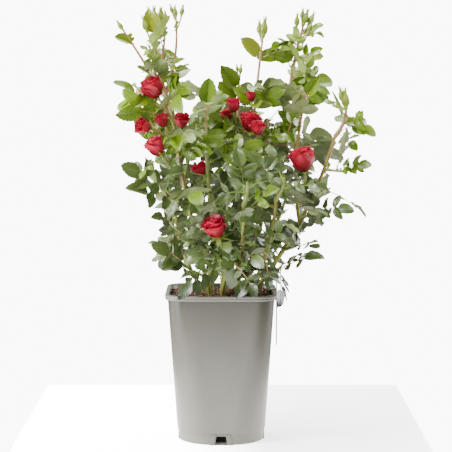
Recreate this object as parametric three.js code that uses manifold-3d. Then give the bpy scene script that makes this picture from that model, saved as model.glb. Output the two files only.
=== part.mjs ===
// A rose bush growing in a plastic pot with a rounded square top.
// Millimetres, +Z up, +X to the right and +Y away, seen from the front.
// The origin is the middle of the pot's flat underside.

import * as THREE from 'three';
import { mergeVertices } from 'three/addons/utils/BufferGeometryUtils.js';
import Module from 'manifold-3d';

const wasm = await Module();
wasm.setup();

// The pot
const POT_HEIGHT = 246;
const RIM_HALF = 91;          // half the width across the rim
const RIM_BAND = 8;           // height of the band that stands proud at the rim
const BODY_TOP_HALF = 86.5;
const BODY_FOOT_HALF = 71.5;
const FOOT_HALF = 70;         // the foot is stepped in below the body
const FOOT_HEIGHT = 19;
const TOP_CORNER = 29;        // corner radius at the rim
const FOOT_CORNER = 60;       // corner radius at the foot, which is nearly round
const WALL = 2.4;
const FLOOR = 3;
const POT_SEGMENTS = 32;
const NOTCH = { bottom: 15, top: 11, height: 12 };
const NOTCH_FRAME = { bottom: 31, top: 23, height: 18, proud: 1.6, depth: 8 };

// The compost that fills it
const SOIL_TOP = 238;
const SOIL_SHOULDER = 236;    // height where it meets the pot's wall
const SOIL_MOUND = 2.2;       // how far its crumbly top rises and falls towards the rim
const SOIL_FLAT = 57;         // the top is level within this radius, where the canes stand
const GAP = 0.3;              // clearance between pieces that touch

// The blank plant label that hangs on the rim
const LABEL = { width: 52, thick: 0.8, low: 152, high: 276, y: 12, tongue: 11, tongueWidth: 14 };

// The short woody stem that the canes rise round
const STEM = { x: 13, y: 0, across: 28, deep: 20, height: 15 };

// Leaves
const STALK_SHARE = 0.27;     // of a leaf's length, before the first pair of leaflets
const END_SHARE = 0.6;       // of a leaf's length, where the end leaflet starts
const END_LEAFLET = 0.42;     // length of the end leaflet, as a share of the leaf
const SIDE_LEAFLET = 0.37;
const LAST_PAIR = 0.09;        // how far the last pair of leaflets is before the end one
const END_WIDTH = 0.66;       // of the leaflet's length
const SIDE_WIDTH = 0.58;
const WIDEST = 0.4;           // where along the leaflet it is widest
const THICKEST = 0.3;
const LEAFLET_THICK = 1.0;
const LEAFLET_FOLD = 0.28;    // rise of the edges over the midrib, for each mm across
const LEAFLET_ARCH = 0.07;    // fall of the tip, as a share of its length
const LEAFLET_ROOT = 1.6;     // half the length along the stalk where a leaflet is rooted
const STALK_RADII = [1.5, 1.25];
const BLOOM_MIDDLE = 0.42;     // a bloom's middle, over its foot, as a share of its width
const PAIR_ANGLE = THREE.MathUtils.degToRad(66);
const TURN_TO_NEXT = THREE.MathUtils.degToRad(137.5);
const LONGEST_WITH_ONE_PAIR = 92;
const AIMED_TWIST = 0.15;
const CROWN_MIDDLE = new THREE.Vector3(50, 0, 0);

// Stems: their sides, and the length of one step along them
const CANE_SIDES = 7;
const CANE_STEP = 60;
const SHOOT_SIDES = 4;
const SHOOT_STEP = 36;
const BUD_SIDES = 5;
const BLOOM_SIDES = 7;
const SHOOT_RADII = [1.8, 1.1];
const CANE_FOOT = SOIL_TOP - 5;

// Side buds below a stem's own: how far along it, and how far round it in radians
const SIDE_BUDS = [[0.93, 0.6], [0.84, 3.4]];

// Room that a leaf keeps from what already grows there
const CELL = 12;
const LEAFLET_ROOM = 2.6;
const STALK_ROOM = 1.2;
const CLEARANCE = 0.45;
const STALK_SPOTS = [0.2, 0.4, 0.56];    // where along a leaf its stalk is looked at

// Side steps and dips that a leaf tries, in radians, until it finds room
const TRIES = [
  [0, 0], [0.35, 0], [-0.35, 0], [0, 0.35], [0, -0.35],
  [0.7, 0.1], [-0.7, 0.1], [1.1, 0], [-1.1, 0],
];

const UP = new THREE.Vector3(0, 0, 1);
const FRONT = new THREE.Vector3(0, -1, 0);

const CANES = [
  { name: 'cane_left', foot: [-16, -13], tip: [-79, -40, 540], bow: [-5, -6], radii: [4.6, 3.0] },
  { name: 'cane_mid_left', foot: [2, -21], tip: [-19, -72, 403], bow: [8, -6], radii: [5.0, 3.9] },
  { name: 'cane_centre', foot: [13, 1], tip: [47, 0, 454], bow: [10, 4], radii: [4.6, 3.2] },
  { name: 'cane_back_right', foot: [40, 13], tip: [113, 62, 559], bow: [0, 10], radii: [4.4, 2.7] },
  { name: 'cane_right', foot: [47, -1], tip: [185, -18, 499], bow: [16, -4], radii: [5.0, 3.0] },
  { name: 'cane_front', foot: [24, -21], tip: [36, -118, 394], bow: [3, -16], radii: [4.2, 2.8] },
  { name: 'cane_back_left', foot: [-14, 13], tip: [-31, 98, 503], bow: [-7, 14], radii: [4.4, 2.8] },
  { name: 'cane_back', foot: [3, 21], tip: [37, 128, 509], bow: [3, 16], radii: [4.4, 2.8] },
  { name: 'cane_front_right', foot: [40, -14], tip: [87, -92, 401], bow: [10, -14], radii: [4.2, 2.8] },
  { name: 'cane_back_outer', foot: [24, 21], tip: [121, 118, 427], bow: [13, 14], radii: [4.2, 2.7] },
  { name: 'cane_left_outer', foot: [-21, 0], tip: [-76, 40, 368], bow: [-13, 6], radii: [4.0, 2.6] },
  { name: 'cane_right_inner', from: 'cane_right', at: 0.47,
    tip: [133, 14, 538], bow: [-7, 6], radii: [3.4, 2.6] },
];
const SHOOTS = [
  { name: 'left_leader', mass: 'left_crown', from: 'cane_left', at: 1,
    tip: [-107, -52, 680], bow: [-7, -4], radii: [2.9, 1.3], leaves: 2, size: 85, seed: 85,
    bud: 18, sideBuds: 2, low: 0.06, shrink: 0.5, spread: 0.8 },
  { name: 'left_tip', mass: 'left_crown', from: 'left_leader', at: 0.03,
    tip: [-156, -74, 671], bow: [2, 5], radii: [2.0, 1.1], leaves: 2, size: 62, seed: 32,
    bud: 11, low: 0.25, shrink: 0.4, spread: 0.8 },
  { name: 'left_spire', mass: 'left_crown', from: 'left_leader', at: 0.2,
    tip: [-73, -30, 692], bow: [7, 4], radii: [1.9, 1.0], leaves: 2, size: 65, seed: 101,
    bud: 12, low: 0.2, shrink: 0.5, spread: 0.8 },
  { name: 'left_needle', mass: 'left_crown', from: 'left_leader', at: 0.45,
    tip: [-90, -36, 684], bow: [2, 4], radii: [1.6, 1.0], leaves: 1, size: 48, seed: 92,
    bud: 12, low: 0.2, spread: 0.7 },
  { name: 'bloom_stalk_top', mass: 'left_high_bloom', from: 'cane_left', at: 0.95,
    tip: [-106, -94, 574], bow: [0, -9], radii: [1.9, 1.5], leaves: 1, size: 119, seed: 1,
    bloom: 40, open: 0.5, low: 0.1, shrink: 0.1 },
  { name: 'bloom_stalk_a', mass: 'left_blooms', from: 'cane_left', at: 0.8,
    tip: [-93, -72, 524], bow: [0, -6], radii: [1.9, 1.3], leaves: 1, size: 99, seed: 68,
    bloom: 24, open: 0.2, low: 0.1 },
  { name: 'bloom_stalk_b', mass: 'left_blooms', from: 'bloom_stalk_a', at: 0.45,
    tip: [-122, -92, 519], bow: [3, 2], radii: [1.5, 1.2], leaves: 1, size: 79, seed: 64,
    bloom: 28, open: 0.35 },
  { name: 'bloom_stalk_c', mass: 'left_back_bloom', from: 'cane_left', at: 0.75,
    tip: [-64, -12, 525], bow: [0, 8], radii: [1.6, 1.2], leaves: 1, size: 99, seed: 26,
    bloom: 30, open: 0.7 },
  { name: 'bloom_stalk_d', mass: 'left_low_bloom', from: 'cane_left', at: 0.66,
    tip: [-102, -98, 480], bow: [-3, -12], radii: [1.7, 1.4], leaves: 1, size: 119, seed: 81,
    bloom: 34, open: 0.3, low: 0.05 },
  { name: 'left_inner_shoot', mass: 'left_inner', from: 'cane_left', at: 0.62,
    tip: [-50, 0, 483], bow: [0, 6], radii: [1.7, 1.1], leaves: 2, size: 110, seed: 118,
    bud: 12, low: 0.15 },
  { name: 'left_arm_shoot', mass: 'left_arm', from: 'cane_left', at: 0.5,
    tip: [-95, -70, 422], bow: [-3, -8], leaves: 1, size: 116, seed: 42, low: 0.05, shrink: 0.15 },
  { name: 'left_low_shoot', mass: 'left_low', from: 'cane_left', at: 0.32,
    tip: [-83, -50, 362], bow: [-5, -6], leaves: 2, size: 112, seed: 78, low: 0.1, shrink: 0.15 },
  { name: 'left_foot_shoot', mass: 'left_foot', from: 'cane_left', at: 0.12,
    tip: [-66, -64, 299], bow: [-3, -8], leaves: 2, size: 121, seed: 8,
    low: 0.05, shrink: 0.1, droop: 0.6 },
  { name: 'left_outer_shoot', mass: 'left_outer', from: 'cane_left_outer', at: 1,
    tip: [-93, 66, 413], bow: [-5, 4], radii: [2.5, 1.2], leaves: 2, size: 119, seed: 68,
    low: 0.05, shrink: 0.3 },
  { name: 'left_outer_low', mass: 'left_outer_foot', from: 'cane_left_outer', at: 0.45,
    tip: [-90, 64, 312], bow: [-3, 6], leaves: 2, size: 119, seed: 22, low: 0.1, shrink: 0.15 },
  { name: 'mid_bloom_stalk', mass: 'mid_left_bloom', from: 'cane_mid_left', at: 0.78,
    tip: [-31, -54, 450], bow: [5, 6], radii: [1.7, 1.4], leaves: 1, size: 101, seed: 8,
    bloom: 29, open: 0.8 },
  { name: 'mid_left_leaf_stalk', mass: 'mid_left_spire', from: 'cane_mid_left', at: 0.97,
    tip: [-23, -72, 552], bow: [-3, 0], radii: [2.2, 1.2], leaves: 2, size: 101, seed: 8, low: 0.2 },
  { name: 'mid_left_shoot', mass: 'mid_left_front', from: 'cane_mid_left', at: 0.55,
    tip: [11, -104, 409], bow: [3, -8], leaves: 2, size: 105, seed: 8 },
  { name: 'front_bloom_stalk', mass: 'front_bloom', from: 'cane_mid_left', at: 0.08,
    tip: [-5, -110, 357], bow: [7, -8], radii: [1.9, 1.4], leaves: 2, size: 105, seed: 89,
    bloom: 41, open: 0.6, low: 0.2 },
  { name: 'centre_leader', mass: 'centre_crown', from: 'cane_centre', at: 1,
    tip: [45, -30, 523], bow: [-2, -4], radii: [2.8, 1.7], leaves: 1, size: 105, seed: 7,
    bloom: 40, open: 0.8, low: 0.1 },
  { name: 'centre_stalk_b', mass: 'centre_crown', from: 'centre_leader', at: 0.15,
    tip: [61, -52, 511], bow: [3, -6], radii: [1.7, 1.3], leaves: 1, size: 85, seed: 76,
    bloom: 25, open: 0.4 },
  { name: 'centre_stalk_c', mass: 'centre_crown', from: 'centre_leader', at: 0.1,
    tip: [18, -8, 549], bow: [-5, 4], radii: [1.8, 1.3], leaves: 1, size: 92, seed: 16,
    bloom: 25, open: 0.3 },
  { name: 'centre_stalk_d', mass: 'centre_crown', from: 'centre_leader', at: 0.3,
    tip: [50, 4, 563], bow: [3, 6], radii: [1.7, 1.2], leaves: 1, size: 81, seed: 67,
    bloom: 17, open: 0.1 },
  { name: 'centre_stalk_e', mass: 'centre_crown', from: 'centre_leader', at: 0.1,
    tip: [6, 16, 532], bow: [-8, 8], radii: [1.6, 1.2], leaves: 1, size: 85, seed: 101,
    bloom: 22, open: 0.4 },
  { name: 'centre_spire', mass: 'centre_spire_sprays', from: 'cane_centre', at: 0.93,
    tip: [69, 40, 663], bow: [-2, 10], radii: [2.2, 1.2], leaves: 3, size: 92, seed: 38,
    bud: 20, sideBuds: 2, low: 0.15, shrink: 0.35 },
  { name: 'centre_spire_left', mass: 'centre_spire_left_sprays', from: 'cane_centre', at: 0.82,
    tip: [31, 30, 601], bow: [-10, 12], radii: [2.0, 1.1], leaves: 2, size: 112, seed: 89,
    bud: 10, low: 0.3, shrink: 0.1 },
  { name: 'centre_low_shoot', mass: 'centre_low', from: 'cane_centre', at: 0.45,
    tip: [18, 32, 369], bow: [-3, 8], leaves: 2, size: 110, seed: 109 },
  { name: 'centre_foot_shoot', mass: 'centre_foot', from: 'cane_centre', at: 0.2,
    tip: [50, -34, 332], bow: [7, -6], leaves: 2, size: 110, seed: 6 },
  { name: 'right_leader', mass: 'back_right_crown', from: 'cane_back_right', at: 1,
    tip: [138, 74, 684], bow: [-3, 4], radii: [2.6, 1.2], leaves: 3, size: 107, seed: 91,
    bud: 16, sideBuds: 2, low: 0.05, shrink: 0.45, spread: 0.9 },
  { name: 'back_right_shoot', mass: 'back_right_mid', from: 'cane_back_right', at: 0.66,
    tip: [79, 96, 523], bow: [-3, 8], leaves: 2, size: 119, seed: 42 },
  { name: 'back_right_low', mass: 'back_right_low_sprays', from: 'cane_back_right', at: 0.38,
    tip: [99, 76, 389], bow: [3, 6], leaves: 2, size: 112, seed: 41 },
  { name: 'inner_leader', mass: 'right_inner_crown', from: 'cane_right_inner', at: 1,
    tip: [137, 6, 571], bow: [2, -2], radii: [2.5, 1.4], leaves: 2, size: 119, seed: 115,
    low: 0.05, shrink: 0.2 },
  { name: 'inner_shoot', mass: 'right_inner_mid', from: 'cane_right_inner', at: 0.55,
    tip: [105, 4, 493], bow: [-3, 4], leaves: 2, size: 112, seed: 16 },
  { name: 'right_bloom_stalk', mass: 'right_bloom', from: 'cane_right_inner', at: 0.22,
    tip: [139, -44, 458], bow: [5, -8], radii: [1.9, 1.5], leaves: 2, size: 101, seed: 68,
    bloom: 47, open: 0.6, low: 0.05 },
  { name: 'right_top_shoot', mass: 'right_crown', from: 'cane_right', at: 1,
    tip: [202, -30, 546], bow: [5, -4], radii: [2.6, 1.4], leaves: 2, size: 92, seed: 115,
    bud: 20, low: 0.02, shrink: 0.3 },
  { name: 'right_arm_shoot', mass: 'right_arm', from: 'cane_right', at: 0.8,
    tip: [199, -40, 443], bow: [3, -6], leaves: 1, size: 110, seed: 45,
    low: 0.05, shrink: 0.1, droop: 0.1 },
  { name: 'right_mid_shoot', mass: 'right_mid', from: 'cane_right', at: 0.5,
    tip: [157, -46, 385], bow: [3, -6], leaves: 2, size: 124, seed: 74,
    low: 0.05, shrink: 0.1, droop: 0.3 },
  { name: 'right_low_shoot', mass: 'right_low', from: 'cane_right', at: 0.3,
    tip: [128, -30, 325], bow: [3, -6], leaves: 2, size: 119, seed: 16, low: 0.05, shrink: 0.1 },
  { name: 'right_foot_shoot', mass: 'right_foot', from: 'cane_right', at: 0.12,
    tip: [102, -50, 297], bow: [3, -8], leaves: 2, size: 121, seed: 16, low: 0.05, shrink: 0.1 },
  { name: 'right_inner_low', mass: 'right_inner_low_sprays', from: 'cane_right', at: 0.62,
    tip: [181, 30, 412], bow: [3, 8], leaves: 2, size: 110, seed: 29 },
  { name: 'front_leader', mass: 'front_crown', from: 'cane_front', at: 1,
    tip: [41, -140, 433], bow: [2, -4], radii: [2.6, 1.2], leaves: 3, size: 101, seed: 16, low: 0.02 },
  { name: 'front_low_shoot', mass: 'front_low', from: 'cane_front', at: 0.4,
    tip: [17, -122, 306], bow: [-3, -10], radii: [1.9, 1.2], leaves: 3, size: 119, seed: 69,
    low: 0.1, droop: 0.7 },
  { name: 'front_right_leader', mass: 'front_right_crown', from: 'cane_front_right', at: 1,
    tip: [99, -112, 438], bow: [3, -4], radii: [2.5, 1.2], leaves: 3, size: 99, seed: 58, low: 0.02 },
  { name: 'front_right_low', mass: 'front_right_low_sprays', from: 'cane_front_right', at: 0.45,
    tip: [65, -106, 320], bow: [5, -8], leaves: 2, size: 112, seed: 19 },
  { name: 'back_left_leader', mass: 'back_left_crown', from: 'cane_back_left', at: 1,
    tip: [-23, 106, 560], bow: [2, 4], radii: [2.5, 1.2], leaves: 3, size: 119, seed: 39,
    low: 0.05, shrink: 0.15 },
  { name: 'back_left_low', mass: 'back_left_low_sprays', from: 'cane_back_left', at: 0.5,
    tip: [-43, 106, 386], bow: [-3, 8], leaves: 2, size: 116, seed: 22 },
  { name: 'back_leader', mass: 'back_crown', from: 'cane_back', at: 1,
    tip: [42, 142, 560], bow: [2, 4], radii: [2.5, 1.2], leaves: 3, size: 101, seed: 76,
    bloom: 30, open: 0.5, low: 0.02 },
  { name: 'back_low_shoot', mass: 'back_low', from: 'cane_back', at: 0.45,
    tip: [25, 132, 357], bow: [0, 10], leaves: 3, size: 116, seed: 101 },
  { name: 'back_outer_leader', mass: 'back_outer_crown', from: 'cane_back_outer', at: 1,
    tip: [142, 136, 470], bow: [2, 4], radii: [2.4, 1.2], leaves: 3, size: 107, seed: 85, low: 0.02 },
  { name: 'back_outer_low', mass: 'back_outer_foot', from: 'cane_back_outer', at: 0.45,
    tip: [111, 112, 317], bow: [3, 8], leaves: 2, size: 112, seed: 77 },
];
const AIMED = [
  { on: 'left_leader', at: 0.86, tip: [-118, -60, 712], droop: 0.1, front: 0.8, roll: 0.0, pairs: 0 },
  { on: 'left_leader', at: 0.62, tip: [-127, -80, 648], droop: 0.3, front: 0.5, roll: 0.2, pairs: 1 },
  { on: 'left_leader', at: 0.42, tip: [-59, -50, 629], droop: 0.3, front: 0.5, roll: -0.3, pairs: 1 },
  { on: 'left_leader', at: 0.34, tip: [-37, -30, 618], droop: 0.0, front: 0.15, roll: 0.3, pairs: 0 },
  { on: 'left_tip', at: 0.8, tip: [-164, -85, 665], droop: 0.6, front: 0.5, roll: 0.2, pairs: 0 },
  { on: 'left_leader', at: 0.22, tip: [-133, -90, 618], droop: 0.4, front: 0.4, roll: 0.3, pairs: 1 },
  { on: 'bloom_stalk_top', at: 0.45, tip: [-169, -110, 588], droop: 0.1, front: 0.6, roll: 0.6, pairs: 1 },
  { on: 'bloom_stalk_top', at: 0.2, tip: [-162, -118, 541], droop: 0.4, front: 0.9, roll: 0.0, pairs: 1 },
  { on: 'left_arm_shoot', at: 0.55, tip: [-161, -110, 466], droop: 0.3, front: 0.55, roll: 0.1, pairs: 2 },
  { on: 'left_arm_shoot', at: 0.2, tip: [-154, -100, 424], droop: 0.1, front: 0.5, roll: -0.1, pairs: 2 },
  { on: 'left_low_shoot', at: 0.7, tip: [-113, -90, 388], droop: 0.7, front: 0.5, roll: 0.3, pairs: 1 },
  { on: 'left_foot_shoot', at: 0.5, tip: [-111, -110, 339], droop: 0.3, front: 0.5, roll: -0.2, pairs: 2 },
  { on: 'left_foot_shoot', at: 0.25, tip: [-97, -100, 300], droop: 0.5, front: 0.5, roll: 0.2, pairs: 1 },
  { on: 'centre_spire_left', at: 0.85, tip: [-8, 0, 627], droop: 0.0, front: 0.8, roll: 0.0, pairs: 0 },
  { on: 'centre_spire_left', at: 0.72, tip: [-13, 0, 604], droop: 0.3, front: 0.7, roll: 0.2, pairs: 0 },
  { on: 'centre_spire', at: 0.84, tip: [32, 20, 660], droop: 0.2, front: 0.7, roll: 0.2, pairs: 0 },
  { on: 'centre_spire', at: 0.42, tip: [103, 10, 591], droop: 0.6, front: 0.8, roll: 0.0, pairs: 1 },
  { on: 'right_leader', at: 0.72, tip: [81, 40, 645], droop: 0.6, front: 0.5, roll: 0.2, pairs: 1 },
  { on: 'right_leader', at: 0.5, tip: [78, 50, 627], droop: 0.4, front: 0.4, roll: 0.0, pairs: 1 },
  { on: 'right_leader', at: 0.82, tip: [177, 70, 689], droop: 0.0, front: 0.25, roll: 0.3, pairs: 0 },
  { on: 'right_leader', at: 0.5, tip: [167, 50, 644], droop: 0.1, front: 0.6, roll: 0.3, pairs: 1 },
  { on: 'right_leader', at: 0.28, tip: [187, 60, 591], droop: 0.5, front: 0.5, roll: 0.0, pairs: 2 },
  { on: 'inner_leader', at: 0.8, tip: [158, -10, 594], droop: 0.3, front: 0.8, roll: 0.0, pairs: 0 },
  { on: 'right_top_shoot', at: 0.55, tip: [176, -30, 597], droop: 0.0, front: 0.5, roll: 0.9, pairs: 0 },
  { on: 'right_top_shoot', at: 0.7, tip: [231, -60, 508], droop: 1.2, front: 0.8, roll: 0.0, pairs: 1 },
  { on: 'right_top_shoot', at: 0.45, tip: [254, -50, 501], droop: 1.2, front: 0.6, roll: 0.3, pairs: 1 },
  { on: 'right_top_shoot', at: 0.1, tip: [217, -70, 480], droop: 0.5, front: 0.5, roll: 0.2, pairs: 2 },
  { on: 'right_arm_shoot', at: 0.4, tip: [244, -70, 459], droop: 0.3, front: 0.5, roll: 0.0, pairs: 2 },
  { on: 'right_mid_shoot', at: 0.6, tip: [218, -70, 387], droop: 0.5, front: 0.5, roll: 0.3, pairs: 2 },
  { on: 'right_low_shoot', at: 0.5, tip: [162, -70, 326], droop: 0.4, front: 0.3, roll: 0.0, pairs: 2 },
  { on: 'right_foot_shoot', at: 0.5, tip: [167, -90, 318], droop: 0.3, front: 0.3, roll: 0.0, pairs: 2 },
  { on: 'mid_left_leaf_stalk', at: 0.95, tip: [-19, -70, 596], droop: 0.0, front: 0.9, roll: 0.0, pairs: 0 },
  { on: 'front_low_shoot', at: 0.6, tip: [16, -112, 236], droop: 1.2, front: 0.9, roll: 0.0, pairs: 0 },
];

// Seeded chance, the same on every run

class Chance {
  constructor(seed) {
    this.state = (Math.imul(seed, 2654435761) + 12345) >>> 0;
    for (let i = 0; i < 3; i++) this.draw();
  }

  draw() {
    this.state = (Math.imul(this.state, 1664525) + 1013904223) >>> 0;
    return this.state / 4294967296;
  }

  about(middle, spread) {
    return middle + spread * (2 * this.draw() - 1);
  }
}

// Solids

function vec(x, y, z) {
  return new THREE.Vector3(x, y, z);
}

/** A closed solid of a geometry, with its shared vertices merged and its faces pointing out. */
function solidOf(geometry) {
  const bare = geometry.clone();
  bare.deleteAttribute('normal');
  bare.deleteAttribute('uv');
  const merged = mergeVertices(bare, 1e-4);
  const places = merged.attributes.position.array;
  const corner = (i) => vec(places[3 * i], places[3 * i + 1], places[3 * i + 2]);
  const faces = [];
  let volume = 0;
  for (let i = 0; i < merged.index.count; i += 3) {
    const [a, b, c] = [0, 1, 2].map((k) => merged.index.getX(i + k));
    if (a === b || b === c || c === a) continue;
    faces.push([a, b, c]);
    volume += corner(a).dot(corner(b).cross(corner(c)));
  }
  const outward = volume > 0 ? faces : faces.map(([a, b, c]) => [a, c, b]);
  return new wasm.Manifold(new wasm.Mesh({
    numProp: 3,
    vertProperties: new Float32Array(places),
    triVerts: new Uint32Array(outward.flat()),
  }));
}

/** The largest body of a solid's mesh: scraps that joining or cutting left loose are dropped. */
function largestBody(mesh) {
  const owner = Array.from({ length: mesh.numVert }, (_, i) => i);
  const find = (i) => {
    let root = i;
    while (owner[root] !== root) root = owner[root];
    owner[i] = root;
    return root;
  };
  const faces = [];
  for (let i = 0; i < mesh.triVerts.length; i += 3) {
    const face = Array.from(mesh.triVerts.slice(i, i + 3));
    owner[find(face[0])] = find(face[1]);
    owner[find(face[1])] = find(face[2]);
    faces.push(face);
  }
  const bodies = new Map();
  for (const face of faces) {
    const body = find(face[0]);
    bodies.set(body, [...(bodies.get(body) ?? []), face]);
  }
  return [...bodies.values()].reduce((a, b) => (b.length > a.length ? b : a));
}

function geometryOf(solid) {
  const mesh = solid.getMesh();
  const geometry = new THREE.BufferGeometry();
  geometry.setAttribute('position', new THREE.BufferAttribute(new Float32Array(mesh.vertProperties), 3));
  geometry.setIndex(largestBody(mesh).flat());
  geometry.computeVertexNormals();
  return geometry;
}

function joined(solids) {
  let rest = [...solids];
  while (rest.length > 1) {
    const next = [];
    for (let i = 0; i < rest.length; i += 2) {
      next.push(i + 1 < rest.length ? rest[i].add(rest[i + 1]) : rest[i]);
    }
    rest = next;
  }
  return rest[0];
}

function boxesMeet(a, b) {
  const [p, q] = [a.boundingBox(), b.boundingBox()];
  return [0, 1, 2].every((k) => p.min[k] <= q.max[k] && q.min[k] <= p.max[k]);
}

function touches(a, b) {
  return boxesMeet(a, b) && a.intersect(b).getMesh().numTri > 0;
}

const group = new THREE.Group();

function addPiece(name, solid, colour, roughness) {
  const material = new THREE.MeshStandardMaterial({ color: colour, roughness, metalness: 0 });
  const mesh = new THREE.Mesh(geometryOf(solid), material);
  mesh.name = name;
  group.add(mesh);
}

// The pot, its compost and its label

/** Distance from the middle of a rounded square to its outline, at an angle. */
function squareReach(angle, half, corner) {
  const c = Math.abs(Math.cos(angle));
  const s = Math.abs(Math.sin(angle));
  const straight = half - corner;
  if (Math.min(c, s) * half <= straight * Math.max(c, s)) return half / Math.max(c, s);
  return straight * (c + s) + Math.sqrt(corner ** 2 - (straight * (c - s)) ** 2);
}

function cornerAt(z) {
  return THREE.MathUtils.lerp(FOOT_CORNER, TOP_CORNER, THREE.MathUtils.clamp(z / POT_HEIGHT, 0, 1));
}

/** A turned profile of half-widths and heights, its rings pushed out to rounded squares. */
function squareTurned(profile, lift = () => 0) {
  const points = profile.map(([half, z]) => new THREE.Vector2(half, z));
  const geometry = new THREE.LatheGeometry(points, POT_SEGMENTS).rotateX(Math.PI / 2);
  const place = geometry.attributes.position;
  for (let i = 0; i < place.count; i++) {
    const [x, y, z] = [place.getX(i), place.getY(i), place.getZ(i)];
    const half = Math.hypot(x, y);
    if (half < 1e-6) continue;
    const reach = squareReach(Math.atan2(y, x), half, Math.min(half, cornerAt(z))) / half;
    place.setXYZ(i, x * reach, y * reach, z + lift(x, y, z));
  }
  return solidOf(geometry);
}

function bodyHalfAt(z) {
  return THREE.MathUtils.mapLinear(z, FOOT_HEIGHT, POT_HEIGHT - RIM_BAND, BODY_FOOT_HALF, BODY_TOP_HALF);
}

/** Half the width inside the pot, on the straight slope from its floor to its rim. */
function insideHalfAt(z) {
  const top = bodyHalfAt(POT_HEIGHT - RIM_BAND) - WALL;
  return THREE.MathUtils.mapLinear(z, FLOOR + 2, POT_HEIGHT, FOOT_HALF - WALL, top);
}

function trapezoid({ bottom, top, height }, below = 0) {
  const slope = (bottom - top) / (2 * height);
  const foot = bottom / 2 + slope * below;
  const outline = new THREE.Shape();
  outline.moveTo(-foot, -below);
  outline.lineTo(foot, -below);
  outline.lineTo(top / 2, height);
  outline.lineTo(-top / 2, height);
  outline.closePath();
  return outline;
}

/** A trapezoid standing on the foot of the pot's front side, between two distances from the middle. */
function frontBlock(sizes, near, far, below = 0) {
  const options = { depth: far - near, bevelEnabled: false };
  const geometry = new THREE.ExtrudeGeometry(trapezoid(sizes, below), options);
  return geometry.rotateX(Math.PI / 2).translate(0, -near, 0);
}

function makePot() {
  const bandFoot = POT_HEIGHT - RIM_BAND;
  const outside = [
    [0, 0], [FOOT_HALF - 1.5, 0], [FOOT_HALF, 1.5], [FOOT_HALF + 0.4, FOOT_HEIGHT - 0.8],
    [bodyHalfAt(FOOT_HEIGHT), FOOT_HEIGHT], [bodyHalfAt(bandFoot), bandFoot],
    [RIM_HALF, bandFoot + 1], [RIM_HALF, POT_HEIGHT - 1], [RIM_HALF - 1, POT_HEIGHT], [0, POT_HEIGHT],
  ];
  const inside = [
    [0, FLOOR], [insideHalfAt(FLOOR + 2) - 2, FLOOR], [insideHalfAt(FLOOR + 2), FLOOR + 2],
    [insideHalfAt(SOIL_SHOULDER), SOIL_SHOULDER], [insideHalfAt(POT_HEIGHT), POT_HEIGHT + 1],
    [0, POT_HEIGHT + 1],
  ];
  let pot = squareTurned(outside).subtract(squareTurned(inside));
  for (let side = 0; side < 4; side++) {
    const turn = side * Math.PI / 2;
    const face = FOOT_HALF + NOTCH_FRAME.proud;
    const frame = frontBlock(NOTCH_FRAME, FOOT_HALF - WALL / 2, face).rotateZ(turn);
    const hole = frontBlock(NOTCH, FOOT_HALF - NOTCH_FRAME.depth, face + 1, 1).rotateZ(turn);
    pot = pot.add(solidOf(frame)).subtract(solidOf(hole));
  }
  return pot;
}

function crumble(x, y) {
  const reach = Math.hypot(x, y);
  if (Math.max(Math.abs(x), Math.abs(y)) < SOIL_FLAT + 1) return 0;
  const wave = Math.sin(0.21 * x + 1.3) * Math.cos(0.17 * y - 0.6) + 0.5 * Math.sin(0.4 * (x + y));
  return SOIL_MOUND * 0.66 * wave;
}

function makeSoil() {
  const slack = GAP + 0.1;
  const profile = [
    [0, FLOOR + GAP], [FOOT_HALF - WALL - 2 - slack, FLOOR + GAP],
    [insideHalfAt(FLOOR + 2) - slack, FLOOR + 2], [insideHalfAt(SOIL_SHOULDER) - slack, SOIL_SHOULDER],
    [SOIL_FLAT + 12, SOIL_TOP], [SOIL_FLAT, SOIL_TOP], [0, SOIL_TOP],
  ];
  return squareTurned(profile, (x, y, z) => (z > SOIL_TOP - 0.5 ? Math.min(crumble(x, y), SOIL_MOUND) : 0));
}

function makeLabel() {
  const near = RIM_HALF + GAP;
  const height = LABEL.high - LABEL.low;
  const card = new THREE.BoxGeometry(LABEL.thick, LABEL.width, height);
  card.translate(near + LABEL.thick / 2, LABEL.y, LABEL.low + height / 2);
  const tongue = new THREE.BoxGeometry(LABEL.tongue, LABEL.tongueWidth, LABEL.thick);
  tongue.translate(near + LABEL.thick - LABEL.tongue / 2, LABEL.y, POT_HEIGHT + GAP + LABEL.thick / 2);
  return solidOf(card).add(solidOf(tongue));
}

// Limbs

/** A tapering limb: a round bar bent along a curve. */
function limb(curve, [footRadius, tipRadius], sides, steps, fatter = 0) {
  const bar = new THREE.CylinderGeometry(tipRadius + fatter, footRadius + fatter, 1, sides, steps);
  const chord = curve.getPoint(1).sub(curve.getPoint(0));
  const spread = [Math.abs(chord.x), Math.abs(chord.y), Math.abs(chord.z)];
  const least = spread.indexOf(Math.min(...spread));
  const aside = vec(...[0, 1, 2].map((k) => (k === least ? 1 : 0)));
  const place = bar.attributes.position;
  const over = fatter / curve.getLength();
  for (let i = 0; i < place.count; i++) {
    const along = THREE.MathUtils.lerp(-over, 1 + over, place.getY(i) + 0.5);
    const ahead = curve.getTangent(THREE.MathUtils.clamp(along, 0, 1));
    const across = ahead.clone().cross(aside).normalize();
    const third = across.clone().cross(ahead);
    const spot = curve.getPoint(along);
    spot.addScaledVector(across, place.getX(i)).addScaledVector(third, place.getZ(i));
    place.setXYZ(i, spot.x, spot.y, spot.z);
  }
  return solidOf(bar);
}

/** A stem's middle line: from its foot to its tip, bowed aside half way. */
function stemCurve(foot, tip, bow) {
  const middle = foot.clone().add(tip).multiplyScalar(0.5);
  return new THREE.QuadraticBezierCurve3(foot, middle.add(vec(2 * bow[0], 2 * bow[1], 0)), tip);
}

function radiusAt(stem, along) {
  return THREE.MathUtils.lerp(stem.radii[0], stem.radii[1], along);
}

const stems = new Map();

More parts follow.
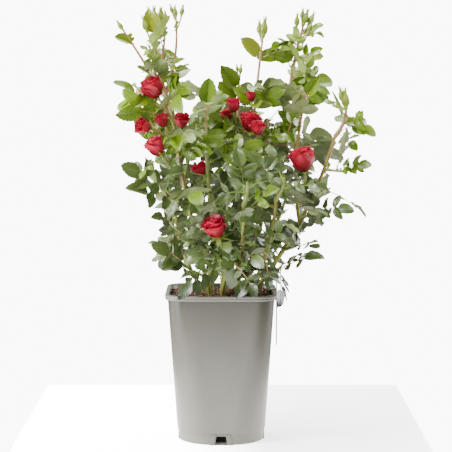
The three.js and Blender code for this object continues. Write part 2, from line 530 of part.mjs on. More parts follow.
function layStem(row) {
  const parent = stems.get(row.from);
  const foot = parent ? parent.curve.getPoint(row.at) : vec(...row.foot, CANE_FOOT);
  const tip = vec(...row.tip);
  if (row.bloom) tip.addScaledVector(tip.clone().sub(foot).normalize(), -BLOOM_MIDDLE * row.bloom);
  const curve = stemCurve(foot, tip, row.bow);
  stems.set(row.name, { radii: SHOOT_RADII, ...row, curve, length: curve.getLength() });
}

function caneSolid(cane, fatter = 0) {
  const steps = Math.max(4, Math.round(cane.length / CANE_STEP));
  return limb(cane.curve, cane.radii, CANE_SIDES, steps, fatter);
}

// Blooms and buds

/** Puts a shape made about +Y from the origin at a spot, with +Y turned to a direction. */
function stand(geometry, spot, direction) {
  const turn = new THREE.Quaternion().setFromUnitVectors(vec(0, 1, 0), direction);
  return geometry.applyQuaternion(turn).translate(spot.x, spot.y, spot.z);
}

/** A rose bloom: a cup, closed at the top when it has only begun to open. */
function bloomSolid(spot, direction, width, open) {
  const half = width / 2;
  const height = width * THREE.MathUtils.lerp(1.15, 0.82, open);
  const mouth = half * THREE.MathUtils.lerp(0.35, 0.92, open);
  const profile = [
    [0, 0], [half * 0.62, height * 0.1], [half, height * 0.5],
    [mouth, height], [0, height * THREE.MathUtils.lerp(1, 0.9, open)],
  ];
  const cup = new THREE.LatheGeometry(profile.map(([r, y]) => new THREE.Vector2(r, y)), BLOOM_SIDES);
  return solidOf(stand(cup, spot.clone().addScaledVector(direction, -1), direction));
}

function budSolid(spot, direction, length) {
  const profile = [[0, 0], [length * 0.19, length * 0.28], [length * 0.1, length * 0.66], [0, length]];
  const spindle = new THREE.LatheGeometry(profile.map(([r, y]) => new THREE.Vector2(r, y)), BUD_SIDES);
  return solidOf(stand(spindle, spot.clone().addScaledVector(direction, -1), direction));
}

// Leaves

/** A direction that opens from a heading by one angle and goes round it by another. */
function directionOf(heading, around, opening) {
  let first = vec(1, 0, 0).addScaledVector(heading, -heading.x);
  if (first.length() < 0.2) first = vec(0, 0, 1).addScaledVector(heading, -heading.z);
  first.normalize();
  const second = heading.clone().cross(first);
  const out = first.multiplyScalar(Math.cos(around)).addScaledVector(second, Math.sin(around));
  return heading.clone().multiplyScalar(Math.cos(opening)).addScaledVector(out, Math.sin(opening));
}

/** Which way a leaf's upper face looks: up, and out from the crown's middle. */
function lightAt(spot) {
  const out = vec(spot.x - CROWN_MIDDLE.x, spot.y - CROWN_MIDDLE.y, 0);
  if (out.length() < 1) out.set(1, 0, 0);
  return UP.clone().multiplyScalar(0.8).addScaledVector(out.normalize(), 0.7);
}

/** One compound leaf: a stalk that arches over, with pairs of leaflets and one at its end. */
class Leaf {
  constructor({ root, direction, face, length, droop, roll, pairs, twist }) {
    this.root = root;
    this.direction = direction.clone().normalize();
    this.length = length;
    this.droop = droop;
    let up = face.clone().addScaledVector(this.direction, -face.dot(this.direction));
    if (up.length() < 0.05) up = FRONT.clone().addScaledVector(this.direction, this.direction.y);
    up.normalize();
    const side = this.direction.clone().cross(up);
    this.face = up.multiplyScalar(Math.cos(roll)).addScaledVector(side, Math.sin(roll));
    this.side = this.direction.clone().cross(this.face);
    this.leaflets = pairs === 0 ? [this.loneLeaflet()] : this.pairedLeaflets(pairs, twist);
  }

  point(share) {
    const out = share * this.length;
    const fall = 0.5 * this.droop * share * out;
    return this.root.clone().addScaledVector(this.direction, out).addScaledVector(UP, -fall);
  }

  heading(share) {
    return this.direction.clone().addScaledVector(UP, -this.droop * share).normalize();
  }

  leaflet(share, sign, axis, lean, size) {
    const flat = this.face.clone().addScaledVector(axis, -this.face.dot(axis)).normalize();
    const over = axis.clone().cross(flat);
    const face = flat.multiplyScalar(Math.cos(lean)).addScaledVector(over, Math.sin(lean));
    const half = size * (sign === 0 ? END_WIDTH : SIDE_WIDTH) / 2;
    const across = axis.clone().cross(face);
    return { share, sign, base: this.point(share), axis, face, across, size, half };
  }

  loneLeaflet() {
    this.stalkEnd = 0.12;
    return this.leaflet(this.stalkEnd, 0, this.heading(0.6), 0, 0.88 * this.length);
  }

  pairedLeaflets(pairs, twist) {
    this.stalkEnd = END_SHARE;
    const made = [];
    for (let k = 0; k < pairs; k++) {
      const far = pairs > 1 ? k / (pairs - 1) : 1;
      const share = STALK_SHARE + (END_SHARE - LAST_PAIR - STALK_SHARE) * (pairs > 1 ? far : 0.7);
      const size = SIDE_LEAFLET * this.length * (0.84 + 0.16 * far);
      for (const sign of [-1, 1]) {
        const axis = this.heading(share).multiplyScalar(Math.cos(PAIR_ANGLE));
        axis.addScaledVector(this.side, sign * Math.sin(PAIR_ANGLE));
        axis.addScaledVector(UP, -0.12 * this.droop).addScaledVector(this.face, 0.06).normalize();
        made.push(this.leaflet(share, sign, axis, sign * twist, size));
      }
    }
    made.push(this.leaflet(END_SHARE, 0, this.heading(1), twist * 0.3, END_LEAFLET * this.length));
    return made;
  }

  /** Three corners of the stalk at a share of the leaf's length: over it, and to its left and right. */
  stalkRing(share, fatter) {
    const heading = this.heading(share);
    const up = this.face.clone().addScaledVector(heading, -this.face.dot(heading)).normalize();
    const side = heading.cross(up);
    const radius = THREE.MathUtils.lerp(STALK_RADII[0], STALK_RADII[1], share / END_SHARE) + fatter;
    const middle = this.point(share);
    const low = middle.clone().addScaledVector(up, -0.5 * radius);
    return {
      top: middle.clone().addScaledVector(up, radius),
      left: low.clone().addScaledVector(side, -0.87 * radius),
      right: low.clone().addScaledVector(side, 0.87 * radius),
    };
  }
}

/** A leaflet's corners: its two edges, the top and bottom of its midrib, and its tip. */
function bladeCorners({ base, axis, face, across, size, half }, fatter) {
  const at = (along, aside, lift) => (
    base.clone().addScaledVector(axis, along).addScaledVector(across, aside).addScaledVector(face, lift)
  );
  const thick = LEAFLET_THICK / 2 + fatter;
  return {
    plus: at(WIDEST * size, half + fatter, LEAFLET_FOLD * half),
    minus: at(WIDEST * size, -half - fatter, LEAFLET_FOLD * half),
    top: at(THICKEST * size, 0, thick),
    bottom: at(THICKEST * size, 0, -thick),
    tip: at(size + fatter, 0, -LEAFLET_ARCH * size),
  };
}

/** One closed mesh of a whole leaf. Its leaflets grow out of the faces of its three-sided stalk. */
function leafSolid(leaf, fatter = 0) {
  const faces = [];
  const quad = (a, b, c, d) => faces.push([a, b, c], [a, c, d]);
  const fan = (ring, tip) => ring.forEach((spot, i) => faces.push([spot, ring[(i + 1) % ring.length], tip]));

  /** Grows a leaflet from a four-cornered root whose corners and edges go round the same way. */
  function sideLeaflet(leaflet, root, sign) {
    const { plus, minus, top, bottom, tip } = bladeCorners(leaflet, fatter);
    const ring = sign > 0 ? [plus, bottom, minus, top] : [minus, top, plus, bottom];
    root.forEach((corner, i) => {
      const next = (i + 1) % 4;
      faces.push([corner, root[next], ring[i]], [root[next], ring[next], ring[i]]);
    });
    fan(ring, tip);
  }

  function endLeaflet(leaflet, { top: t, left: l, right: r }) {
    const { plus, minus, top, bottom, tip } = bladeCorners(leaflet, fatter);
    faces.push([t, r, plus], [r, bottom, plus], [r, l, bottom], [l, minus, bottom]);
    faces.push([l, t, minus], [t, top, minus], [t, plus, top]);
    fan([plus, bottom, minus, top], tip);
  }

  const paired = leaf.leaflets.filter(({ sign }) => sign !== 0);
  const nodes = [...new Set(paired.map(({ share }) => share))].sort((a, b) => a - b);
  const root = LEAFLET_ROOT / leaf.length;
  const shares = [0, ...nodes.flatMap((share) => [share - root, share + root]), leaf.stalkEnd];
  const rings = shares.map((share) => leaf.stalkRing(share, fatter));
  faces.push([rings[0].right, rings[0].top, rings[0].left]);
  for (let i = 0; i + 1 < rings.length; i++) {
    const [a, b] = [rings[i], rings[i + 1]];
    const sides = [[1, [a.top, a.right, b.right, b.top]], [-1, [a.left, a.top, b.top, b.left]]];
    for (const [sign, corners] of sides) {
      const grows = (one) => one.sign === sign && Math.abs(shares[i] + root - one.share) < 1e-9;
      const leaflet = paired.find(grows);
      if (leaflet) sideLeaflet(leaflet, corners, sign);
      else quad(...corners);
    }
    quad(a.right, a.left, b.left, b.right);
  }
  const last = rings[rings.length - 1];
  const end = leaf.leaflets.find(({ sign }) => sign === 0);
  if (end) endLeaflet(end, last);
  else faces.push([last.top, last.right, last.left]);

  const geometry = new THREE.BufferGeometry();
  const corners = faces.flat().flatMap((spot) => [spot.x, spot.y, spot.z]);
  geometry.setAttribute('position', new THREE.Float32BufferAttribute(corners, 3));
  return solidOf(geometry);
}

/** A leaflet alone, a little larger all round, to try whether it stands clear. */
function leafletTrial(leaflet) {
  const { plus, minus, top, bottom, tip } = bladeCorners(leaflet, CLEARANCE);
  const base = leaflet.base;
  const ring = [plus, bottom, minus, top];
  const faces = ring.flatMap((spot, i) => {
    const next = ring[(i + 1) % 4];
    return [[spot, next, tip], [next, spot, base]];
  });
  const geometry = new THREE.BufferGeometry();
  const corners = faces.flat().flatMap((spot) => [spot.x, spot.y, spot.z]);
  geometry.setAttribute('position', new THREE.Float32BufferAttribute(corners, 3));
  return solidOf(geometry);
}

/** Six spots on a leaflet that stand for it when room is looked for. */
function leafletSpots({ base, axis, across, size, half }) {
  const shares = [[0.35, 0.85], [0.35, -0.85], [0.4, 0], [0.7, 0.55], [0.7, -0.55], [0.98, 0]];
  return shares.map(([along, aside]) => (
    base.clone().addScaledVector(axis, size * along).addScaledVector(across, half * aside)
  ));
}

// What already grows where, kept as spots with a radius

class Ledger {
  constructor() {
    this.cells = new Map();
    this.balls = [];
  }

  key(i, j, k) {
    return `${i},${j},${k}`;
  }

  add(spot, radius, owner) {
    const key = this.key(...[spot.x, spot.y, spot.z].map((c) => Math.floor(c / CELL)));
    if (!this.cells.has(key)) this.cells.set(key, []);
    this.cells.get(key).push({ spot, radius, owner });
  }

  near(spot) {
    const [i, j, k] = [spot.x, spot.y, spot.z].map((c) => Math.floor(c / CELL));
    const found = [...this.balls];
    for (const a of [i - 1, i, i + 1]) {
      for (const b of [j - 1, j, j + 1]) {
        for (const c of [k - 1, k, k + 1]) found.push(...(this.cells.get(this.key(a, b, c)) ?? []));
      }
    }
    return found;
  }

  taken(spot, radius, own = []) {
    if (inPot(spot, radius)) return true;
    return this.near(spot).some((other) => (
      !own.includes(other.owner) && spot.distanceTo(other.spot) < radius + other.radius
    ));
  }
}

function inPot(spot, radius) {
  const reach = Math.max(Math.abs(spot.x), Math.abs(spot.y));
  const inside = RIM_HALF - 7;
  if (reach < inside - radius) return spot.z < SOIL_TOP + 2 + radius;
  return reach < RIM_HALF + radius + 1 && spot.z < POT_HEIGHT + radius + 1;
}

const ledger = new Ledger();

function enterStem(stem) {
  const steps = Math.max(3, Math.floor(stem.length / 6));
  for (let i = 0; i <= steps; i++) {
    ledger.add(stem.curve.getPoint(i / steps), radiusAt(stem, i / steps) + 0.8, stem.name);
  }
  if (stem.bloom) {
    const heading = stem.curve.getTangent(1);
    const middle = stem.curve.getPoint(1).addScaledVector(heading, BLOOM_MIDDLE * stem.bloom);
    ledger.balls.push({ spot: middle, radius: stem.bloom / 2, owner: `${stem.name}_bloom` });
  }
}

function settle(leaf, leaflets, owner) {
  leaf.leaflets = leaflets;
  for (const leaflet of leaflets) {
    for (const spot of leafletSpots(leaflet)) ledger.add(spot, LEAFLET_ROOM, owner);
  }
  for (const share of STALK_SPOTS) ledger.add(leaf.point(share), 1, owner);
}

function freeLeaflets(leaf, own) {
  if (STALK_SPOTS.some((share) => ledger.taken(leaf.point(share), STALK_ROOM, own))) return [];
  return leaf.leaflets.filter((leaflet) => (
    !leafletSpots(leaflet).some((spot) => ledger.taken(spot, LEAFLET_ROOM))
  ));
}

/** A leaf that reaches for a known tip. */
function aimLeaf(row) {
  const stem = stems.get(row.on);
  const root = stem.curve.getPoint(row.at);
  const reach = vec(...row.tip).sub(root);
  const length = reach.length();
  const direction = reach.addScaledVector(UP, 0.5 * row.droop * length);
  const face = UP.clone().multiplyScalar(1 - row.front).addScaledVector(FRONT, row.front);
  const { droop, roll, pairs } = row;
  const leaf = new Leaf({ root, direction, face, length, droop, roll, pairs, twist: AIMED_TWIST });
  settle(leaf, leaf.leaflets, row.on);
  return leaf;
}

/** The leaves of one shoot, round it by a steady turn, each where it first finds room. */
function growLeaves(stem) {
  const { leaves: count, size, low = 0.2, shrink = 0.3, spread = 0.95, droop: sag = 0.6 } = stem;
  const chance = new Chance(stem.seed);
  const start = 2 * Math.PI * chance.draw();
  const own = [stem.name, stem.from];
  const grown = [];
  for (let i = 0; i < count; i++) {
    const along = low + (0.97 - low) * (i + 0.5) / count;
    const length = size * (1 - shrink * i / Math.max(1, count - 1)) * chance.about(1, 0.14);
    const around = start + i * TURN_TO_NEXT + chance.about(0, 0.5);
    const opening = chance.about(spread, 0.3);
    const droop = chance.about(sag, 0.4);
    const roll = chance.about(0, 0.7);
    const twist = chance.about(0.2, 0.35);
    const pairs = length > LONGEST_WITH_ONE_PAIR ? 2 : 1;
    const root = stem.curve.getPoint(along);
    let best = { free: [] };
    for (const [turn, dip] of TRIES) {
      const direction = directionOf(stem.curve.getTangent(along), around + turn, opening + dip);
      const leaf = new Leaf({ root, direction, face: lightAt(root), length, droop, roll, pairs, twist });
      const free = freeLeaflets(leaf, own);
      if (free.length > best.free.length) best = { leaf, free };
      if (free.length === leaf.leaflets.length) break;
    }
    if (best.leaf && best.free.length >= (best.leaf.leaflets.length + 1) / 2) {
      settle(best.leaf, best.free, stem.name);
      grown.push(best.leaf);
    }
  }
  return grown;
}

// Masses of foliage

/** The stems of a mass with the bloom or the buds that they end in. */
function shootSolids(stem) {
  const tip = stem.curve.getPoint(1);
  const heading = stem.curve.getTangent(1);
  const steps = Math.max(2, Math.round(stem.length / SHOOT_STEP));
  const solids = [limb(stem.curve, stem.radii, SHOOT_SIDES, steps)];
  if (stem.bloom) solids.push(bloomSolid(tip, heading, stem.bloom, stem.open));
  if (!stem.bud) return solids;
  solids.push(budSolid(tip, heading, stem.bud));
  for (const [along, around] of SIDE_BUDS.slice(0, stem.sideBuds ?? 0)) {
    const foot = stem.curve.getPoint(along);
    const direction = directionOf(stem.curve.getTangent(along), around, 0.45);
    const end = foot.clone().addScaledVector(direction, 0.8 * stem.bud);
    solids.push(limb(new THREE.LineCurve3(foot, end), [1.1, 0.9], 3, 1));
    solids.push(budSolid(end, direction, 0.7 * stem.bud));
  }
  return solids;
}

function makeMass(shoots, canes, obstacles) {
  const solids = shoots.flatMap((stem) => shootSolids(stem));
  const others = obstacles.filter((other) => !shoots.some((stem) => stem.name === other.name));
  for (const leaf of shoots.flatMap((stem) => stem.foliage)) {
    const clear = (solid, own) => !others.some((other) => other.name !== own && touches(solid, other.solid));
    leaf.leaflets = leaf.leaflets.filter((leaflet) => clear(leafletTrial(leaflet)));
    if (leaf.leaflets.length === 0) continue;
    if (clear(leafSolid(leaf, CLEARANCE), leaf.stem.from)) solids.push(leafSolid(leaf));
  }
  return canes.reduce((mass, cane) => (boxesMeet(mass, cane) ? mass.subtract(cane) : mass), joined(solids));
}

/** The short stem that the canes rise round, sitting on the compost. */
function makeShortStem(fatter = 0) {
  const height = STEM.height + fatter;
  const profile = [[0, -4], [1, -4], [1, 0.25], [0.86, 0.62], [0.55, 0.9], [0, 1]];
  const dome = new THREE.LatheGeometry(profile.map(([r, y]) => new THREE.Vector2(r, y)), 14);
  dome.rotateX(Math.PI / 2).scale(STEM.across / 2 + fatter, STEM.deep / 2 + fatter, height);
  return solidOf(dome.translate(STEM.x, STEM.y, SOIL_TOP));
}

function makeGround() {
  const ground = new THREE.BoxGeometry(400, 400, 100);
  return solidOf(ground.translate(0, 0, SOIL_TOP + GAP - 50));
}

for (const row of [...CANES, ...SHOOTS]) layStem(row);
for (const stem of stems.values()) enterStem(stem);
for (const stem of stems.values()) stem.foliage = [];
for (const row of AIMED) stems.get(row.on).foliage.push(aimLeaf(row));
for (const { name } of SHOOTS) stems.get(name).foliage.push(...growLeaves(stems.get(name)));
for (const stem of stems.values()) {
  for (const leaf of stem.foliage) leaf.stem = stem;
}

const PIECES = [
  { name: 'pot', solid: makePot(), colour: 0xaaa79f, roughness: 0.5 },
  { name: 'soil', solid: makeSoil(), colour: 0x3d2a20, roughness: 0.95 },
  { name: 'label', solid: makeLabel(), colour: 0xf2f2ee, roughness: 0.45 },
  { name: 'short_stem', solid: makeShortStem().subtract(makeGround()), colour: 0x7b6242, roughness: 0.8 },
];

const fatCanes = [];
for (const { name } of CANES) {
  const cane = stems.get(name);
  let solid = caneSolid(cane).subtract(makeGround()).subtract(makeShortStem(GAP));
  for (const other of fatCanes) {
    if (boxesMeet(solid, other)) solid = solid.subtract(other);
  }
  PIECES.push({ name, solid, colour: 0x8a6a3c, roughness: 0.6 });
  fatCanes.push(caneSolid(cane, GAP));
}

const massNames = [...new Set(SHOOTS.map((row) => row.mass))];
const shootObstacles = SHOOTS.map(({ name }) => ({ name, solid: joined(shootSolids(stems.get(name))) }));
for (const mass of massNames) {
  const shoots = SHOOTS.filter((row) => row.mass === mass).map(({ name }) => stems.get(name));
  const solid = makeMass(shoots, fatCanes, [...PIECES, ...shootObstacles]);
  PIECES.push({ name: mass, solid, colour: 0x5f7d33, roughness: 0.55 });
}

for (const { name, solid, colour, roughness } of PIECES) addPiece(name, solid, colour, roughness);

export default group;
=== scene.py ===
"""A rose bush in bloom, growing in a tall grey plastic pot.

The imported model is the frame. The bush is grown again by the rule that its solids follow,
carried on to finer sprays, and each mass of foliage is replaced by what grows there.
Lengths are in millimetres until a mesh is made, and the meshes are in metres.
"""
import math
from collections import namedtuple

import bmesh
import bpy
import numpy as np
from mathutils import Matrix, Vector


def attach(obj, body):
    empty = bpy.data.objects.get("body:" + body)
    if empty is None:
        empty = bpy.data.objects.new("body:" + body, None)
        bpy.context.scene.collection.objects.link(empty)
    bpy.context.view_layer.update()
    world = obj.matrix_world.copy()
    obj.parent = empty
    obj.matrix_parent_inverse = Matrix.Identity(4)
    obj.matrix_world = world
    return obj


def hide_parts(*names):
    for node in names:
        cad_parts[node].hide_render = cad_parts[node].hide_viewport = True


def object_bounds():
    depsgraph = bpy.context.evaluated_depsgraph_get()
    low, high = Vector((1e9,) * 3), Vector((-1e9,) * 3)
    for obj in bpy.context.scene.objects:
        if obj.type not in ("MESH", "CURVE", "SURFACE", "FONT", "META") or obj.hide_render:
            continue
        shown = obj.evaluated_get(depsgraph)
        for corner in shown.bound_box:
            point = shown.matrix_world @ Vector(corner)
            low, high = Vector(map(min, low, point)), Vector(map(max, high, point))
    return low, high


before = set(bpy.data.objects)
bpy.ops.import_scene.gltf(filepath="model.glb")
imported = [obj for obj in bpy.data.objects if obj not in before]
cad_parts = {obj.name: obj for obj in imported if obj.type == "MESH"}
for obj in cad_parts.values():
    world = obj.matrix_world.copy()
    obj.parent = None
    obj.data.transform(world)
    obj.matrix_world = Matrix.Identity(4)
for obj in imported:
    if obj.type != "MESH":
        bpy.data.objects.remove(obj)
CAD_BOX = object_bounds()
MM = 0.001
ANY_TURN = 6.3      # about a full turn, for a chance angle or phase

# The pot. A half is the distance from its middle to a side.
POT_HEIGHT = 246
RIM_HALF = 91
RIM_BAND = 8
RIM_WIDTH = 7
BAND_FOOT = POT_HEIGHT - RIM_BAND
BODY_TOP_HALF = 86.5
BODY_FOOT_HALF = 72.5
FOOT_HALF = 70
FOOT_HEIGHT = 19
TOP_CORNER = 29
FOOT_CORNER = 60
WALL = 2.4
FLOOR = 3
RING_SIDES = 128
NOTCH_FRAME = dict(bottom=38, top=31, height=18.6, proud=0.9)
NOTCH_RECESS = dict(bottom=24, top=19, height=17, deep=1.3)
NOTCH_HOLE = dict(bottom=20, top=15.5, height=14.5, sill=0.8)
POT_TONE = (0.13, 0.125, 0.102, 1)
# Painted shade: the share of the pot's tone kept just under the rim, darker and warmer where the crown hangs
# over the pot
POT_RIM_SHADE = (0.23, 0.215, 0.16, 1)      # of that tone, just under the rim

# What stands in the pot
SOIL_TOP = 238
SOIL_SHOULDER = 236
SOIL_FOOT = 26
SOIL_RINGS = 26
CRUMBS = 1500
CHIP_SHARE = 0.3
FINE_ROOTS = 260
FINE_ROOT_RADIUS = 0.28
LABEL = dict(width=52, thick=0.5, low=152, high=276, y=12, corner=5, curl=0.0006, tongue=11, tongue_width=14)
STUMP = dict(x=13, y=0, across=28, deep=20, height=15)

# A leaf, in shares of its length: where its first pair stands and where its end leaflet does, how far before
# that one its last pair stands, where a lone leaflet stands, and how long the leaflets are
STALK_SHARE = 0.27
END_SHARE = 0.6
LAST_PAIR = 0.09
LONE_STALK = 0.12
END_LEAFLET = 0.42
SIDE_LEAFLET = 0.37

# A leaflet's width, in shares of its own length
END_WIDTH = 0.66
SIDE_WIDTH = 0.58

# How leaves stand on a stem, and leaflets on a leaf
PAIR_ANGLE = math.radians(66)
TURN_TO_NEXT = math.radians(137.5)
LONGEST_WITH_ONE_PAIR = 92
AIMED_TWIST = 0.15

# The ledger's cells, the room that a leaf keeps from what already grows, and the turns it tries to find it
CELL = 12.0
LEAFLET_ROOM = 2.6
FINE_ROOM = 1.7
STALK_ROOM = 1.2
STALK_RADIUS = 1.0
STALK_SPOTS = (0.2, 0.4, 0.56)
STEM_ROOM = 0.8
STEM_SPOT_STEP = 6
SOIL_ROOM = 2
RIM_ROOM = 1
TRIES = ((0, 0), (0.35, 0), (-0.35, 0), (0, 0.35), (0, -0.35), (0.7, 0.1), (-0.7, 0.1), (1.1, 0), (-1.1, 0))

# How far a main leaf's face and a finer leaf's turn out from the crown's middle
OUTWARD = 0.7
FINE_OUTWARD = 0.5

# Finer leaves between the main ones, from the crown's foot to its top
CROWN_FOOT = 260
CROWN_RISE = 380
FINER = 0.8
FINE_STEPS = (19, 30)
FINE_LENGTHS = (74, 84)
FINE_FROM = 0.1
FINE_FROM_ON_CANE = 0.16
FINE_TO = 0.96
FINE_TO_UNDER_BUD = 0.5
LOWEST_FINE_LEAF = 264

# How leaflets are drawn: their width and teeth as shares, and their greatest lengths by height
BLADE_ROWS = 14
BLADE_EDGE = 55      # the angle in degrees that keeps a blade's outline sharp
SLIM = 0.94
TOOTH = 0.0055
FULL_LENGTH_BAND = (460, 560)
LOW_SHARE = 0.88
LONGEST_LEAFLET = 46
LOW_LEAVES_TO = 300
LONGEST_LOW = 34
YOUNG_FROM = 660
LONGEST_YOUNG = 39

# Each tone's upper side, its underside, its roughness and how high in the crown it starts
LEAF_TONES = {
    "young": ((0.2, 0.24, 0.003, 1), (0.19, 0.27, 0.025, 1), 0.3, 1.0),
    "bright": ((0.125, 0.205, 0.002, 1), (0.19, 0.27, 0.04, 1), 0.26, 0.7),
    "mid": ((0.09, 0.155, 0.004, 1), (0.17, 0.21, 0.065, 1), 0.27, 0.4),
    "dark": ((0.06, 0.094, 0.018, 1), (0.11, 0.135, 0.055, 1), 0.3, -math.inf),
}
TONES_FROM = 250      # where that height is 0
TONES_OVER = 430      # from there to where it is 1

# Boughs that are older than their height tells, or younger
OLDER_BOUGHS = dict(
    front_crown=0.22, centre_low=0.15, front_right_crown=0.15, left_foot=-0.12, left_crown=-0.08)

# Painted shade under the crown: leaves in a band over the rim are darkened and turned bluer, most at the rim
RIM_SHADE_BAND = 60
RIM_SHADE_SHARE = (0.1, 0.125, 0.25, 1)

# How stems are drawn, and how many sides each kind has
SIDES = dict(shoot=9, stalk=5, root=4, hip=10, bud=9, bud_stalk=6)
STOUT = 1.5
CANE_SLIM = 0.87
CANE_FROM = 3      # a stem with a thicker foot is a cane
REDDISH_FROM = 470
REDDISH_SHARE = 0.3

# Prickles: the length of stem for each, and their size with its spread
CANE_PRICKLES = (11, (1.25, 0.35))
SHOOT_PRICKLES = (24, (0.7, 0.2))

# Blooms and buds. A profile says how far along something is how thick, as shares of its size.
BLOOM_MIDDLE = 0.42      # from a bloom's foot to its middle, as a share of its width
FEWEST_PETALS = 10
PETALS_FOR_WIDTH = 0.55
SMALLEST_HIP = 2.4
HIP_PROFILE = ((-1.1, 0.3), (-0.7, 0.62), (-0.2, 0.95), (0.35, 0.9), (0.8, 0.5))
BUD_PROFILE = ((0.02, 0.08), (0.15, 0.155), (0.32, 0.175), (0.5, 0.135), (0.66, 0.07), (0.78, 0.02))
BUD_SCALE = 1.7

# Buds beside a shoot's tip: where each leaves the shoot, to which side, its stalk's length and its own,
# which is for a shoot that ends in a full bud
FULL_BUD = 15
SIDE_BUDS = ((0.95, 2.9, 14, 20), (0.84, 0.2, 24, 24), (0.72, 3.6, 32, 22), (0.6, 5.6, 44, 18))
SIDE_BUD_STALK = (1.7, 1.4, 1.3, 1.6)      # how thick it is along its length

# The studio, in metres and watts: where each soft light hangs, its aim, its size and its power
LIGHTS = dict(
    key=((-1.3, -1.0, 2.2), (0, 0, 0.35), (0.8, 0.8), 128),
    top=((0.1, 0.7, 2.1), (0, 0, 0.45), (2.4, 1.6), 128),
    low=((-0.8, -0.4, 0.13), (0, 0, 0.04), (0.4, 0.2), 12),
    left=((-1.2, 0.12, 0.34), (0, 0, 0.17), (0.4, 0.8), 24),
    side=((1.1, 0.35, 0.4), (0, 0, 0.2), (0.5, 0.8), 22),
)
WORLD_LIGHT = 1.1
WORLD_GLOSS = 0.34
WORLD_SEEN = 10.0
TABLE_HALF = 0.338
TABLE_NEAR = -1.5
TABLE_FAR = 0.457
# Painted light for the camera: brightest at the table's left, falling to the right where the pot's shadow
# lies
FLOOR_GLOW = (12.0, 1.8)
FLOOR_BOUNCE = 0.9
CAMERA_PLACE = (0.00784, -2.718, 0.5992)
CAMERA_DIP = 0.0909
PICTURE_PIXELS = 452
FOCAL_PIXELS = 1657.34
SENSOR = 36

UP = Vector((0, 0, 1))
FRONT = Vector((0, -1, 0))
CROWN_MIDDLE = Vector((50, 0, 0))

# A cane goes from its foot in the compost, or from the stem that it grows on, to its tip
CANES = [
    dict(name="cane_left", foot=(-16, -13), tip=(-79, -40, 540), bow=(-5, -6), radii=(4.6, 3.0),
         fine_seed=155),
    dict(name="cane_mid_left", foot=(2, -21), tip=(-19, -72, 403), bow=(8, -6), radii=(5.0, 3.9),
         fine_seed=156),
    dict(name="cane_centre", foot=(13, 1), tip=(47, 0, 454), bow=(10, 4), radii=(4.6, 3.2), fine_seed=57),
    dict(name="cane_back_right", foot=(40, 13), tip=(113, 62, 559), bow=(0, 10), radii=(4.4, 2.7),
         fine_seed=144),
    dict(name="cane_right", foot=(47, -1), tip=(185, -18, 499), bow=(16, -4), radii=(5.0, 3.0), fine_seed=0),
    dict(name="cane_front", foot=(24, -21), tip=(36, -118, 394), bow=(3, -16), radii=(4.2, 2.8),
         fine_seed=151),
    dict(name="cane_back_left", foot=(-14, 13), tip=(-31, 98, 503), bow=(-7, 14), radii=(4.4, 2.8),
         fine_seed=65),
    dict(name="cane_back", foot=(3, 21), tip=(37, 128, 509), bow=(3, 16), radii=(4.4, 2.8), fine_seed=53),
    dict(name="cane_front_right", foot=(40, -14), tip=(87, -92, 401), bow=(10, -14), radii=(4.2, 2.8),
         fine_seed=70),
    dict(name="cane_back_outer", foot=(24, 21), tip=(121, 118, 427), bow=(13, 14), radii=(4.2, 2.7),
         fine_seed=114),
    dict(name="cane_left_outer", foot=(-21, 0), tip=(-76, 40, 368), bow=(-13, 6), radii=(4.0, 2.6),
         fine_seed=158),
    dict(name="cane_right_inner", on="cane_right", at=0.47, tip=(133, 14, 538), bow=(-7, 6), radii=(3.4, 2.6),
         fine_seed=2),
]

# A shoot's row tells its radii at foot and tip, how many main leaves it has, how long they are, from where on
# it they grow, and how they shrink along it, spread and droop. Then come its bud's length and the buds beside
# that, or its bloom's width and how far the bloom is open, and the seeds of its main and its finer leaves.
# This is what a shoot has where its row doesn't say otherwise.
USUAL = dict(radii=(1.8, 1.1), leaves=2, low=0.2, shrink=0.3, spread=0.95, droop=0.6, side_buds=0)


def shoot(name, mass, on, at, tip, bow, **more):
    """A shoot: its name, its mass of foliage, the stem that it leaves and where, its tip and its bow."""
    return dict(USUAL, name=name, mass=mass, on=on, at=at, tip=tip, bow=bow, **more)


